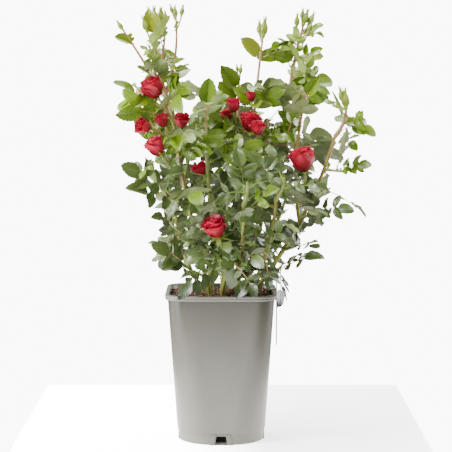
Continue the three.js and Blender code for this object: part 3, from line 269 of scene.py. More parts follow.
SHOOTS = [
    shoot("left_leader", "left_crown", "cane_left", 1, (-107, -52, 680), (-7, -4), radii=(2.9, 1.3), size=85,
          seed=85, bud=18, side_buds=3, low=0.06, shrink=0.5, spread=0.8, fine_seed=103),
    shoot("left_tip", "left_crown", "left_leader", 0.03, (-156, -74, 671), (2, 5), radii=(2.0, 1.1), size=62,
          seed=32, bud=11, low=0.25, shrink=0.4, spread=0.8, fine_seed=84),
    shoot("left_spire", "left_crown", "left_leader", 0.2, (-73, -30, 692), (7, 4), radii=(1.9, 1.0), size=65,
          seed=101, bud=12, side_buds=2, shrink=0.5, spread=0.8, fine_seed=0),
    shoot("left_needle", "left_crown", "left_leader", 0.45, (-90, -36, 684), (2, 4), radii=(1.6, 1.0),
          leaves=1, size=48, seed=92, bud=12, side_buds=1, spread=0.7, fine_seed=55),
    shoot("bloom_stalk_top", "left_high_bloom", "cane_left", 0.95, (-106, -94, 574), (0, -9),
          radii=(1.9, 1.5), leaves=1, size=119, seed=1, bloom=40, cup=0.5, low=0.1, shrink=0.1, fine_seed=8),
    shoot("bloom_stalk_a", "left_blooms", "cane_left", 0.8, (-93, -72, 524), (0, -6), radii=(1.9, 1.3),
          leaves=1, size=99, seed=68, bloom=24, cup=0.2, low=0.1, fine_seed=142),
    shoot("bloom_stalk_b", "left_blooms", "bloom_stalk_a", 0.45, (-122, -92, 519), (3, 2), radii=(1.5, 1.2),
          leaves=1, size=79, seed=64, bloom=28, cup=0.35, fine_seed=16),
    shoot("bloom_stalk_c", "left_back_bloom", "cane_left", 0.75, (-64, -12, 525), (0, 8), radii=(1.6, 1.2),
          leaves=1, size=99, seed=26, bloom=30, cup=0.7, fine_seed=151),
    shoot("bloom_stalk_d", "left_low_bloom", "cane_left", 0.66, (-102, -98, 480), (-3, -12), radii=(1.7, 1.4),
          leaves=1, size=119, seed=81, bloom=34, cup=0.3, low=0.05, fine_seed=73),
    shoot("left_inner_shoot", "left_inner", "cane_left", 0.62, (-50, 0, 483), (0, 6), radii=(1.7, 1.1),
          size=110, seed=118, bud=12, red=True, low=0.15, fine_seed=41),
    shoot("left_arm_shoot", "left_arm", "cane_left", 0.5, (-95, -70, 422), (-3, -8), leaves=1, size=116,
          seed=42, low=0.05, shrink=0.15, fine_seed=20),
    shoot("left_low_shoot", "left_low", "cane_left", 0.32, (-83, -50, 362), (-5, -6), size=112, seed=78,
          low=0.1, shrink=0.15, fine_seed=116),
    shoot("left_foot_shoot", "left_foot", "cane_left", 0.12, (-66, -64, 299), (-3, -8), size=121, seed=8,
          low=0.05, shrink=0.1, fine_seed=152),
    shoot("left_outer_shoot", "left_outer", "cane_left_outer", 1, (-93, 66, 413), (-5, 4), radii=(2.5, 1.2),
          size=119, seed=68, low=0.05, fine_seed=148),
    shoot("left_outer_low", "left_outer_foot", "cane_left_outer", 0.45, (-90, 64, 312), (-3, 6), size=119,
          seed=22, low=0.1, shrink=0.15, fine_seed=114),
    shoot("mid_bloom_stalk", "mid_left_bloom", "cane_mid_left", 0.78, (-31, -54, 450), (5, 6),
          radii=(1.7, 1.4), leaves=1, size=101, seed=8, bloom=29, cup=0.8, fine_seed=159),
    shoot("mid_left_leaf_stalk", "mid_left_spire", "cane_mid_left", 0.97, (-23, -72, 552), (-3, 0),
          radii=(2.2, 1.2), size=101, seed=8, fine_seed=120),
    shoot("mid_left_shoot", "mid_left_front", "cane_mid_left", 0.55, (11, -104, 409), (3, -8), size=105,
          seed=8, fine_seed=3),
    shoot("front_bloom_stalk", "front_bloom", "cane_mid_left", 0.08, (-5, -110, 357), (7, -8),
          radii=(1.9, 1.4), size=105, seed=89, bloom=41, cup=0.6, fine_seed=50),
    shoot("centre_leader", "centre_crown", "cane_centre", 1, (45, -30, 523), (-2, -4), radii=(2.8, 1.7),
          leaves=1, size=105, seed=7, bloom=40, cup=0.8, low=0.1, fine_seed=41),
    shoot("centre_stalk_b", "centre_crown", "centre_leader", 0.15, (61, -52, 511), (3, -6), radii=(1.7, 1.3),
          leaves=1, size=85, seed=76, bloom=25, cup=0.4, fine_seed=130),
    shoot("centre_stalk_c", "centre_crown", "centre_leader", 0.1, (18, -8, 549), (-5, 4), radii=(1.8, 1.3),
          leaves=1, size=92, seed=16, bloom=25, cup=0.3, fine_seed=61),
    shoot("centre_stalk_d", "centre_crown", "centre_leader", 0.3, (50, 4, 563), (3, 6), radii=(1.7, 1.2),
          leaves=1, size=81, seed=67, bloom=17, cup=0.1, fine_seed=149),
    shoot("centre_stalk_e", "centre_crown", "centre_leader", 0.1, (6, 16, 532), (-8, 8), radii=(1.6, 1.2),
          leaves=1, size=85, seed=101, bloom=22, cup=0.4, fine_seed=87),
    shoot("centre_spire", "centre_spire_sprays", "cane_centre", 0.93, (69, 40, 663), (-2, 10),
          radii=(2.2, 1.2), leaves=3, size=92, seed=38, bud=20, side_buds=1, low=0.15, shrink=0.35,
          fine_seed=159),
    shoot("centre_spire_left", "centre_spire_left_sprays", "cane_centre", 0.82, (31, 30, 601), (-10, 12),
          radii=(2.0, 1.1), size=112, seed=89, bud=10, side_buds=1, low=0.3, shrink=0.1, fine_seed=68),
    shoot("centre_low_shoot", "centre_low", "cane_centre", 0.45, (18, 32, 369), (-3, 8), size=110, seed=109,
          fine_seed=145),
    shoot("centre_foot_shoot", "centre_foot", "cane_centre", 0.2, (50, -34, 332), (7, -6), size=110, seed=6,
          fine_seed=65),
    shoot("right_leader", "back_right_crown", "cane_back_right", 1, (138, 74, 684), (-3, 4), radii=(2.6, 1.2),
          leaves=3, size=107, seed=91, bud=16, side_buds=4, low=0.05, shrink=0.45, spread=0.9, fine_seed=22),
    shoot("back_right_shoot", "back_right_mid", "cane_back_right", 0.66, (79, 96, 523), (-3, 8), size=119,
          seed=42, fine_seed=132),
    shoot("back_right_low", "back_right_low_sprays", "cane_back_right", 0.38, (99, 76, 389), (3, 6), size=112,
          seed=41, fine_seed=145),
    shoot("inner_leader", "right_inner_crown", "cane_right_inner", 1, (137, 6, 571), (2, -2),
          radii=(2.5, 1.4), size=119, seed=115, low=0.05, shrink=0.2, fine_seed=40),
    shoot("inner_shoot", "right_inner_mid", "cane_right_inner", 0.55, (105, 4, 493), (-3, 4), size=112,
          seed=16, fine_seed=93),
    shoot("right_bloom_stalk", "right_bloom", "cane_right_inner", 0.22, (139, -44, 458), (5, -8),
          radii=(1.9, 1.5), size=101, seed=68, bloom=47, cup=0.6, low=0.05, fine_seed=149),
    shoot("right_top_shoot", "right_crown", "cane_right", 1, (202, -30, 546), (5, -4), radii=(2.6, 1.4),
          size=92, seed=115, bud=20, side_buds=1, low=0.02, fine_seed=69),
    shoot("right_arm_shoot", "right_arm", "cane_right", 0.8, (199, -40, 443), (3, -6), leaves=1, size=110,
          seed=45, low=0.05, shrink=0.1, droop=0.1, fine_seed=6),
    shoot("right_mid_shoot", "right_mid", "cane_right", 0.5, (157, -46, 385), (3, -6), size=124, seed=74,
          low=0.05, shrink=0.1, droop=0.3, fine_seed=132),
    shoot("right_low_shoot", "right_low", "cane_right", 0.3, (128, -30, 325), (3, -6), size=119, seed=16,
          low=0.05, shrink=0.1, fine_seed=72),
    shoot("right_foot_shoot", "right_foot", "cane_right", 0.12, (102, -50, 297), (3, -8), size=121, seed=16,
          low=0.05, shrink=0.1, fine_seed=36),
    shoot("right_inner_low", "right_inner_low_sprays", "cane_right", 0.62, (181, 30, 412), (3, 8), size=110,
          seed=29, fine_seed=159),
    shoot("front_leader", "front_crown", "cane_front", 1, (41, -140, 433), (2, -4), radii=(2.6, 1.2),
          leaves=3, size=101, seed=16, low=0.02, fine_seed=69),
    shoot("front_low_shoot", "front_low", "cane_front", 0.4, (17, -122, 306), (-3, -10), radii=(1.9, 1.2),
          leaves=3, size=119, seed=69, low=0.1, droop=0.7, fine_seed=30),
    shoot("front_right_leader", "front_right_crown", "cane_front_right", 1, (99, -112, 438), (3, -4),
          radii=(2.5, 1.2), leaves=3, size=99, seed=58, low=0.02, fine_seed=142),
    shoot("front_right_low", "front_right_low_sprays", "cane_front_right", 0.45, (65, -106, 320), (5, -8),
          size=112, seed=19, fine_seed=45),
    shoot("back_left_leader", "back_left_crown", "cane_back_left", 1, (-23, 106, 560), (2, 4),
          radii=(2.5, 1.2), leaves=3, size=119, seed=39, low=0.05, shrink=0.15, fine_seed=2),
    shoot("back_left_low", "back_left_low_sprays", "cane_back_left", 0.5, (-43, 106, 386), (-3, 8), size=116,
          seed=22, fine_seed=140),
    shoot("back_leader", "back_crown", "cane_back", 1, (42, 142, 560), (2, 4), radii=(2.5, 1.2), leaves=3,
          size=101, seed=76, bloom=30, cup=0.5, low=0.02, fine_seed=101),
    shoot("back_low_shoot", "back_low", "cane_back", 0.45, (25, 132, 357), (0, 10), leaves=3, size=116,
          seed=101, fine_seed=144),
    shoot("back_outer_leader", "back_outer_crown", "cane_back_outer", 1, (142, 136, 470), (2, 4),
          radii=(2.4, 1.2), leaves=3, size=107, seed=85, low=0.02, fine_seed=104),
    shoot("back_outer_low", "back_outer_foot", "cane_back_outer", 0.45, (111, 112, 317), (3, 8), size=112,
          seed=77, fine_seed=14),
]

# A leaf whose tip is known: its stem, where on it, its tip, its droop, how far it faces the front, its roll
# and its pairs of leaflets
Aim = namedtuple("Aim", "on at tip droop front roll pairs")
AIMED = [
    Aim("left_leader", 0.86, (-118, -60, 712), 0.1, 0.8, 0.0, 0),
    Aim("left_leader", 0.62, (-127, -80, 648), 0.3, 0.5, 0.2, 1),
    Aim("left_leader", 0.42, (-59, -50, 629), 0.3, 0.5, -0.3, 1),
    Aim("left_leader", 0.34, (-37, -30, 618), 0.0, 0.15, 0.3, 0),
    Aim("left_tip", 0.8, (-164, -85, 665), 0.6, 0.5, 0.2, 0),
    Aim("left_leader", 0.22, (-133, -90, 618), 0.4, 0.4, 0.3, 1),
    Aim("bloom_stalk_top", 0.45, (-169, -110, 588), 0.1, 0.6, 0.6, 1),
    Aim("bloom_stalk_top", 0.2, (-162, -118, 541), 0.4, 0.9, 0.0, 1),
    Aim("left_arm_shoot", 0.55, (-161, -110, 466), 0.3, 0.55, 0.1, 2),
    Aim("left_arm_shoot", 0.2, (-154, -100, 424), 0.1, 0.5, -0.1, 2),
    Aim("left_low_shoot", 0.7, (-113, -90, 388), 0.7, 0.5, 0.3, 1),
    Aim("left_foot_shoot", 0.5, (-111, -110, 339), 0.3, 0.5, -0.2, 2),
    Aim("left_foot_shoot", 0.25, (-97, -100, 300), 0.5, 0.5, 0.2, 1),
    Aim("centre_spire_left", 0.85, (-8, 0, 627), 0.0, 0.8, 0.0, 0),
    Aim("centre_spire_left", 0.72, (-13, 0, 604), 0.3, 0.7, 0.2, 0),
    Aim("centre_spire", 0.84, (32, 20, 660), 0.2, 0.7, 0.2, 0),
    Aim("centre_spire", 0.42, (103, 10, 591), 0.6, 0.8, 0.0, 1),
    Aim("right_leader", 0.72, (81, 40, 645), 0.6, 0.5, 0.2, 1),
    Aim("right_leader", 0.5, (78, 50, 627), 0.4, 0.4, 0.0, 1),
    Aim("right_leader", 0.82, (177, 70, 689), 0.0, 0.25, 0.3, 0),
    Aim("right_leader", 0.5, (167, 50, 644), 0.1, 0.6, 0.3, 1),
    Aim("right_leader", 0.28, (187, 60, 591), 0.5, 0.5, 0.0, 2),
    Aim("inner_leader", 0.8, (158, -10, 594), 0.3, 0.8, 0.0, 0),
    Aim("right_top_shoot", 0.55, (176, -30, 597), 0.0, 0.5, 0.9, 0),
    Aim("right_top_shoot", 0.7, (231, -60, 508), 1.2, 0.8, 0.0, 1),
    Aim("right_top_shoot", 0.45, (254, -50, 501), 1.2, 0.6, 0.3, 1),
    Aim("right_top_shoot", 0.1, (217, -70, 480), 0.5, 0.5, 0.2, 2),
    Aim("right_arm_shoot", 0.4, (244, -70, 459), 0.3, 0.5, 0.0, 2),
    Aim("right_mid_shoot", 0.6, (218, -70, 387), 0.5, 0.5, 0.3, 2),
    Aim("right_low_shoot", 0.5, (162, -70, 326), 0.4, 0.3, 0.0, 2),
    Aim("right_foot_shoot", 0.5, (167, -90, 318), 0.3, 0.3, 0.0, 2),
    Aim("mid_left_leaf_stalk", 0.95, (-19, -70, 596), 0.0, 0.9, 0.0, 0),
    Aim("front_low_shoot", 0.6, (16, -112, 236), 1.2, 0.9, 0.0, 0),
]

# Single leaves that are placed last, among the finer ones
LATE_LEAVES = [
    Aim("right_leader", 0.74, (80, 48, 650), 0.1, 0.35, 0.5, 0),
    Aim("right_leader", 0.62, (84, 40, 628), 0.5, 0.9, 0.0, 0),
    Aim("right_leader", 0.52, (166, 50, 638), 0.2, 0.6, -0.3, 0),
    Aim("right_leader", 0.12, (152, 40, 596), 0.5, 1.0, 0.0, 0),
    Aim("left_leader", 0.34, (-66, -90, 606), 0.9, 1.0, 0.1, 0),
    Aim("centre_spire", 0.5, (24, 10, 580), 0.5, 0.9, 0.2, 0),
]


# The bush's growing rule


class Chance:
    """Seeded chance, the same on every run."""

    def __init__(self, seed):
        self.state = (seed * 2654435761 + 12345) % 2 ** 32
        for _ in range(3):
            self.draw()

    def draw(self):
        self.state = (self.state * 1664525 + 1013904223) % 2 ** 32
        return self.state / 2 ** 32

    def about(self, middle, spread):
        return middle + spread * (2 * self.draw() - 1)


def mix(a, b, share):
    return a + (b - a) * share


class Stem:
    """A tapering stem on a bowed middle line."""

    def __init__(self, row, parent):
        self.row, self.name, self.radii = row, row["name"], row["radii"]
        self.foot = parent.at(row["at"]) if parent else Vector((*row["foot"], SOIL_TOP - 5))
        self.tip = Vector(row["tip"])
        if "bloom" in row:
            self.tip -= (self.tip - self.foot).normalized() * BLOOM_MIDDLE * row["bloom"]
        bow = Vector((*row["bow"], 0))
        self.control = (self.foot + self.tip) / 2 + 2 * bow
        spots = [self.at(i / 12) for i in range(13)]
        self.length = sum((b - a).length for a, b in zip(spots, spots[1:]))
        self.leaves = []
        self.fine = []

    def at(self, share):
        left = 1 - share
        return self.foot * left ** 2 + self.control * (2 * share * left) + self.tip * share ** 2

    def heading(self, share):
        ahead = (self.control - self.foot) * (1 - share) + (self.tip - self.control) * share
        return ahead.normalized()

    def radius(self, share):
        return mix(*self.radii, share)


def in_pot(spot, room):
    """Whether a spot with some room round it is in the compost or in the pot's rim."""
    reach = max(abs(spot[0]), abs(spot[1]))
    if reach < RIM_HALF - RIM_WIDTH - room:
        return spot[2] < SOIL_TOP + SOIL_ROOM + room
    return reach < RIM_HALF + room + RIM_ROOM and spot[2] < POT_HEIGHT + room + RIM_ROOM


class Ledger:
    """What already grows where, kept as spots with a radius."""

    def __init__(self):
        self.cells = {}
        self.balls = []

    def cell(self, spot):
        return tuple(math.floor(c / CELL) for c in spot)

    def add(self, spot, radius, owner):
        self.cells.setdefault(self.cell(spot), []).append((spot[0], spot[1], spot[2], radius, owner))

    def near(self, spot):
        i, j, k = self.cell(spot)
        yield from self.balls
        for a in (i - 1, i, i + 1):
            for b in (j - 1, j, j + 1):
                for c in (k - 1, k, k + 1):
                    yield from self.cells.get((a, b, c), ())

    def taken(self, spot, room, own=()):
        if in_pot(spot, room):
            return True
        x, y, z = spot
        for ox, oy, oz, radius, owner in self.near(spot):
            if owner in own:
                continue
            if (x - ox) ** 2 + (y - oy) ** 2 + (z - oz) ** 2 < (room + radius) ** 2:
                return True
        return False


class Leaflet:
    """One blade of a leaf. side is -1 or 1 for the blades of a pair, and 0 for the one at the end."""

    def __init__(self, leaf, share, side, axis, lean, size):
        flat = (leaf.face - axis * leaf.face.dot(axis)).normalized()
        self.base = leaf.point(share)
        self.side, self.axis, self.size = side, axis, size
        self.face = flat * math.cos(lean) + axis.cross(flat) * math.sin(lean)
        self.across = axis.cross(self.face)
        self.half = size * (SIDE_WIDTH if side else END_WIDTH) / 2

    def spots(self):
        shares = ((0.35, 0.85), (0.35, -0.85), (0.4, 0), (0.7, 0.55), (0.7, -0.55), (0.98, 0))
        return [self.base + self.axis * self.size * a + self.across * self.half * b for a, b in shares]


class Leaf:
    """One compound leaf: a stalk that arches over, with pairs of leaflets and one at its end."""

    def __init__(self, root, direction, face, length, droop, roll, pairs, twist):
        self.root, self.length, self.droop = root, length, droop
        self.direction = direction.normalized()
        up = face - self.direction * face.dot(self.direction)
        if up.length < 0.05:
            up = FRONT + self.direction * self.direction.y
        up.normalize()
        self.face = up * math.cos(roll) + self.direction.cross(up) * math.sin(roll)
        self.side = self.direction.cross(self.face)
        self.pairs, self.twist = pairs, twist
        self.stalk_end = END_SHARE if pairs else LONE_STALK
        self.leaflets = self.paired_leaflets(pairs) if pairs else [self.lone_leaflet()]

    def point(self, share):
        out = share * self.length
        return self.root + self.direction * out - UP * (0.5 * self.droop * share * out)

    def heading(self, share):
        return (self.direction - UP * (self.droop * share)).normalized()

    def lone_leaflet(self):
        return Leaflet(self, LONE_STALK, 0, self.heading(0.6), 0, 0.88 * self.length)

    def pair(self, share, size):
        """Two leaflets that open from the stalk, one to each side."""
        for side in (-1, 1):
            axis = self.heading(share) * math.cos(PAIR_ANGLE) + self.side * (side * math.sin(PAIR_ANGLE))
            axis = (axis - UP * 0.12 * self.droop + self.face * 0.06).normalized()
            yield Leaflet(self, share, side, axis, side * self.twist, size)

    def paired_leaflets(self, pairs, scale=1.0):
        made = []
        for k in range(pairs):
            far = k / (pairs - 1) if pairs > 1 else 1.0
            share = STALK_SHARE + (END_SHARE - LAST_PAIR - STALK_SHARE) * (far if pairs > 1 else 0.7)
            made.extend(self.pair(share, scale * SIDE_LEAFLET * self.length * (0.84 + 0.16 * far)))
        size = scale * END_LEAFLET * self.length
        made.append(Leaflet(self, END_SHARE, 0, self.heading(1), self.twist * 0.3, size))
        return made

    def refine(self):
        """Shares the blade out among more and smaller leaflets than the solid has."""
        sides = {one.side for one in self.leaflets}
        self.leaflets = [one for one in self.paired_leaflets(self.pairs + 1, FINER) if one.side in sides]


def direction_of(heading, around, opening):
    """A direction that opens from a heading by one angle and goes round it by another."""
    first = Vector((1, 0, 0)) - heading * heading.x
    if first.length < 0.2:
        first = UP - heading * heading.z
    first.normalize()
    out = first * math.cos(around) + heading.cross(first) * math.sin(around)
    return heading * math.cos(opening) + out * math.sin(opening)


def light_at(spot, outward):
    """Which way a leaf's upper face looks: up, and out from the crown's middle."""
    out = Vector((spot.x - CROWN_MIDDLE.x, spot.y - CROWN_MIDDLE.y, 0))
    if out.length < 1:
        out = Vector((1, 0, 0))
    return UP * 0.8 + out.normalized() * outward


def enter_stem(stem, ledger):
    """Puts a stem and its bloom into the ledger."""
    steps = max(3, int(stem.length / STEM_SPOT_STEP))
    for i in range(steps + 1):
        ledger.add(stem.at(i / steps), stem.radius(i / steps) + STEM_ROOM, stem.name)
    bloom = stem.row.get("bloom")
    if bloom:
        middle = stem.tip + stem.heading(1) * BLOOM_MIDDLE * bloom
        ledger.balls.append((*middle, bloom / 2, stem.name + "_bloom"))


def settle(leaf, leaflets, ledger, owner, room):
    """Puts a leaf into the ledger, with those leaflets that it keeps."""
    leaf.leaflets = leaflets
    for leaflet in leaflets:
        for spot in leaflet.spots():
            ledger.add(spot, room, owner)
    for share in STALK_SPOTS:
        ledger.add(leaf.point(share), STALK_RADIUS, owner)


def free_leaflets(leaf, ledger, own, room):
    if any(ledger.taken(leaf.point(share), STALK_ROOM, own) for share in STALK_SPOTS):
        return []
    return [one for one in leaf.leaflets if not any(ledger.taken(spot, room) for spot in one.spots())]


def place_leaf(stem, ledger, room, outward, share, around, opening, **shape):
    """A leaf on a stem at the first place round it that has room, or nothing."""
    best, root, own = None, stem.at(share), (stem.name, stem.row.get("on"))
    for turn, dip in TRIES:
        direction = direction_of(stem.heading(share), around + turn, opening + dip)
        leaf = Leaf(root, direction, light_at(root, outward), **shape)
        free = free_leaflets(leaf, ledger, own, room)
        if best is None or len(free) > len(best[1]):
            best = (leaf, free)
        if len(free) == len(leaf.leaflets):
            break
    leaf, free = best
    if len(free) < (len(leaf.leaflets) + 1) // 2:
        return None
    settle(leaf, free, ledger, stem.name, room)
    return leaf


def aimed_leaf(aim, stem, ledger):
    """A leaf that reaches for a known tip."""
    root = stem.at(aim.at)
    reach = Vector(aim.tip) - root
    direction = reach + UP * (0.5 * aim.droop * reach.length)
    face = UP * (1 - aim.front) + FRONT * aim.front
    leaf = Leaf(root, direction, face, reach.length, aim.droop, aim.roll, aim.pairs, AIMED_TWIST)
    settle(leaf, leaf.leaflets, ledger, stem.name, LEAFLET_ROOM)
    return leaf


def main_leaves(stem, ledger):
    """The leaves that the solids have too, round the shoot by a steady turn."""
    row, chance = stem.row, Chance(stem.row["seed"])
    count, low = row["leaves"], row["low"]
    start = 2 * math.pi * chance.draw()
    for i in range(count):
        share = low + (0.97 - low) * (i + 0.5) / count
        taper = 1 - row["shrink"] * i / max(1, count - 1)
        length = row["size"] * taper * chance.about(1, 0.14)
        around = start + i * TURN_TO_NEXT + chance.about(0, 0.5)
        opening = chance.about(row["spread"], 0.3)
        droop, roll, twist = chance.about(row["droop"], 0.4), chance.about(0, 0.7), chance.about(0.2, 0.35)
        pairs = 2 if length > LONGEST_WITH_ONE_PAIR else 1
        leaf = place_leaf(stem, ledger, LEAFLET_ROOM, OUTWARD, share, around, opening,
                          length=length, droop=droop, roll=roll, pairs=pairs, twist=twist)
        if leaf:
            leaf.refine()
            yield leaf


def height_of(spot):
    """0 at the crown's foot and 1 at its top."""
    return min(1, max(0, (spot.z - CROWN_FOOT) / CROWN_RISE))


def inside_reach(leaf):
    """Whether a finer leaf stays within the reach of the solids."""
    spots = [spot * MM for leaflet in leaf.leaflets for spot in leaflet.spots()]
    low, high = CAD_BOX
    if min(spot.z for spot in spots) < LOWEST_FINE_LEAF * MM:
        return False
    return all(low[k] < spot[k] < high[k] for spot in spots for k in range(3))


def fine_leaves(stem, ledger, seed):
    """Leaves between the main ones: close and small low down, fewer and longer high up, none under a bud."""
    chance = Chance(seed)
    count = int(stem.length / mix(*FINE_STEPS, height_of(stem.at(0.5))))
    low = FINE_FROM_ON_CANE if "foot" in stem.row else FINE_FROM
    high = FINE_TO_UNDER_BUD if "bud" in stem.row else FINE_TO
    start = 2 * math.pi * chance.draw()
    for i in range(count):
        share = mix(low, high, (i + chance.draw()) / count)
        height = height_of(stem.at(share))
        length = mix(*FINE_LENGTHS, height) * chance.about(1, 0.2)
        around = start + i * TURN_TO_NEXT + chance.about(0, 0.6)
        opening = chance.about(0.95, 0.35)
        droop, roll, twist = chance.about(0.55, 0.5), chance.about(0, 0.8), chance.about(0.2, 0.4)
        leaf = place_leaf(stem, ledger, FINE_ROOM, FINE_OUTWARD, share, around, opening,
                          length=length, droop=droop, roll=roll, pairs=1, twist=twist)
        if leaf and inside_reach(leaf):
            if height < chance.draw():
                leaf.refine()
            yield leaf


def grow_bush():
    """Every stem by name, with its leaves."""
    stems, ledger = {}, Ledger()
    for row in CANES + SHOOTS:
        stems[row["name"]] = Stem(row, stems.get(row.get("on")))
    for stem in stems.values():
        enter_stem(stem, ledger)
    for aim in AIMED:
        stem = stems[aim.on]
        stem.leaves.append(aimed_leaf(aim, stem, ledger))
    for row in SHOOTS:
        stem = stems[row["name"]]
        stem.leaves.extend(main_leaves(stem, ledger))
    for stem in reversed(stems.values()):
        if stem.row["fine_seed"]:
            stem.fine = list(fine_leaves(stem, ledger, stem.row["fine_seed"]))
    for aim in LATE_LEAVES:
        stem = stems[aim.on]
        stem.fine.append(aimed_leaf(aim, stem, ledger))
    return stems


# Making pieces


def deselect():
    bpy.ops.object.select_all(action="DESELECT")


def activate(piece):
    """Makes a piece the only one that the next operator works on."""
    deselect()
    piece.select_set(True)
    bpy.context.view_layer.objects.active = piece


def chosen(name):
    """The object that an operator has just added, named."""
    piece = bpy.context.object
    piece.name = name
    piece.data.name = name
    return piece


def edit(piece):
    activate(piece)
    bpy.ops.object.mode_set(mode="EDIT")
    bpy.ops.mesh.select_all(action="SELECT")


def leave_edit():
    bpy.ops.object.mode_set(mode="OBJECT")


def close_edit():
    """Turns every face outward and leaves edit mode."""
    bpy.ops.mesh.select_all(action="SELECT")
    bpy.ops.mesh.normals_make_consistent(inside=False)
    leave_edit()


def join(pieces):
    """Joins pieces into the first of them."""
    activate(pieces[0])
    for piece in pieces[1:]:
        piece.select_set(True)
    bpy.ops.object.join()


def apply_modifier(piece, kind, **values):
    activate(piece)
    modifier = piece.modifiers.new(kind.title(), kind)
    for key, value in values.items():
        setattr(modifier, key, value)
    bpy.ops.object.modifier_apply(modifier=modifier.name)


def settle_piece(piece):
    """Puts a piece's place into its mesh."""
    activate(piece)
    bpy.ops.object.transform_apply(location=True, rotation=True, scale=True)


def smooth(piece, degrees):
    activate(piece)
    bpy.ops.object.shade_smooth_by_angle(angle=math.radians(degrees))


def hand_in(piece, nodes=()):
    """Lets a finished piece ride with the part, and stand for the solids that it replaces."""
    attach(piece, "root")
    if nodes:
        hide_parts(*nodes)


def take_form(piece):
    """A modelled shape's corners and faces, to be copied many times. The shape itself is removed."""
    mesh = piece.data
    places = np.array([v.co for v in mesh.vertices])
    faces = [tuple(p.vertices) for p in mesh.polygons]
    bpy.data.objects.remove(piece)
    return places, faces


class Growth:
    """Joins placed copies of small shapes into one piece."""

    def __init__(self, name):
        self.name = name
        self.places, self.faces, self.uvs, self.slots = [], [], [], []
        self.count = 0

    def add(self, places, faces, uv, slots):
        """slots is one material number for each face, or one for them all."""
        start = self.count
        self.places.append(np.asarray(places))
        self.uvs.append(np.asarray(uv))
        self.faces.extend(tuple(start + i for i in face) for face in faces)
        self.slots.extend([slots] * len(faces) if isinstance(slots, int) else slots)
        self.count += len(places)

    def add_form(self, places, faces, slot):
        """A shape whose materials need no UV map."""
        self.add(places, faces, np.zeros((len(places), 2)), slot)

    def add_blade(self, blade, places, slots=None):
        """A bent blade. Its face and its underside take materials 0 and 1, unless slots says another."""
        self.add(places, blade.faces, blade.uv, blade.sides if slots is None else slots)

    def piece(self, materials):
        mesh = bpy.data.meshes.new(self.name)
        mesh.from_pydata((np.concatenate(self.places) * MM).tolist(), [], self.faces)
        for one in materials:
            mesh.materials.append(one)
        mesh.polygons.foreach_set("material_index", self.slots)
        mesh.polygons.foreach_set("use_smooth", [True] * len(self.faces))
        corners = np.zeros(len(mesh.loops), dtype=np.int32)
        mesh.loops.foreach_get("vertex_index", corners)
        layer = mesh.uv_layers.new(name="blade")
        layer.data.foreach_set("uv", np.concatenate(self.uvs)[corners].ravel().astype(np.float32))
        mesh.update()
        piece = bpy.data.objects.new(self.name, mesh)
        bpy.context.scene.collection.objects.link(piece)
        smooth(piece, BLADE_EDGE)
        return piece


class Blade:
    """A closed flat blade, to be bent: across is -1 to 1, along is 0 to 1, and below is 0 or -1."""

    def __init__(self, rows, columns, pointed=True):
        bpy.ops.mesh.primitive_grid_add(x_subdivisions=columns, y_subdivisions=rows, size=2)
        blade = chosen("blade")
        edit(blade)
        bpy.ops.mesh.duplicate()
        bpy.ops.mesh.flip_normals()
        bpy.ops.transform.translate(value=(0, 0, -1))
        leave_edit()
        for vertex in blade.data.vertices:
            x, y = vertex.co.x, vertex.co.y
            vertex.co.y = (y + 1) / 2
            if y < -0.999 or (y > 0.999 and pointed):
                vertex.co.x = 0
            if abs(y) > 0.999 or abs(x) > 0.999:
                vertex.co.z = 0
        edit(blade)
        bpy.ops.mesh.remove_doubles(threshold=0.0001)
        leave_edit()
        places, self.faces = take_form(blade)
        self.across, self.along, self.below = places.T
        self.uv = np.stack([self.across * 0.5 + 0.5, self.along], axis=1)
        self.sides = [int(np.mean([places[i][2] for i in face]) < -0.01) for face in self.faces]


def tube(line, radii, sides):
    """A closed round stem along a line: its corners, faces and UVs."""
    line = [Vector(spot) for spot in line]
    ahead = (line[1] - line[0]).normalized()
    aside = ahead.orthogonal().normalized()
    places, uvs = [], []
    travelled = 0.0
    for i, spot in enumerate(line):
        after, before = line[min(i + 1, len(line) - 1)], line[max(i - 1, 0)]
        ahead = (after - before).normalized()
        aside = (aside - ahead * aside.dot(ahead)).normalized()
        third = ahead.cross(aside)
        travelled += (spot - before).length
        for k in range(sides):
            angle = 2 * math.pi * k / sides
            out = aside * math.cos(angle) + third * math.sin(angle)
            places.append(spot + out * radii[i])
            uvs.append((k / sides, travelled * 0.1))
    faces = []
    for i in range(len(line) - 1):
        for k in range(sides):
            a, b = i * sides + k, i * sides + (k + 1) % sides
            faces.append((a, b, b + sides, a + sides))
    faces.append(tuple(reversed(range(sides))))
    faces.append(tuple(range((len(line) - 1) * sides, len(line) * sides)))
    return np.array(places), faces, np.array(uvs)


# Materials


def new_material(name, roughness):
    made = bpy.data.materials.new(name)
    made.use_nodes = True
    shader = made.node_tree.nodes["Principled BSDF"]
    shader.inputs["Roughness"].default_value = roughness
    return made, made.node_tree, shader


def node(tree, kind, inputs=(), **values):
    """Adds a node. values set its properties, and inputs are numbers, colours or the sockets that feed it."""
    made = tree.nodes.new(kind)
    for key, value in values.items():
        setattr(made, key, value)
    for socket, source in dict(inputs).items():
        if isinstance(source, bpy.types.NodeSocket):
            tree.links.new(source, made.inputs[socket])
        else:
            made.inputs[socket].default_value = source
    return made


def maths(tree, operation, first, second=None, clamp=False):
    inputs = {0: first} if second is None else {0: first, 1: second}
    return node(tree, "ShaderNodeMath", inputs, operation=operation, use_clamp=clamp).outputs[0]


def blend_colours(tree, share, first, second, way="MIX"):
    inputs = {0: share, 6: first, 7: second}
    return node(tree, "ShaderNodeMix", inputs, data_type="RGBA", blend_type=way).outputs[2]


def place_group(tree, group, inputs):
    return node(tree, "ShaderNodeGroup", inputs, node_tree=group)


def object_place(tree):
    return node(tree, "ShaderNodeTexCoord").outputs["Object"]


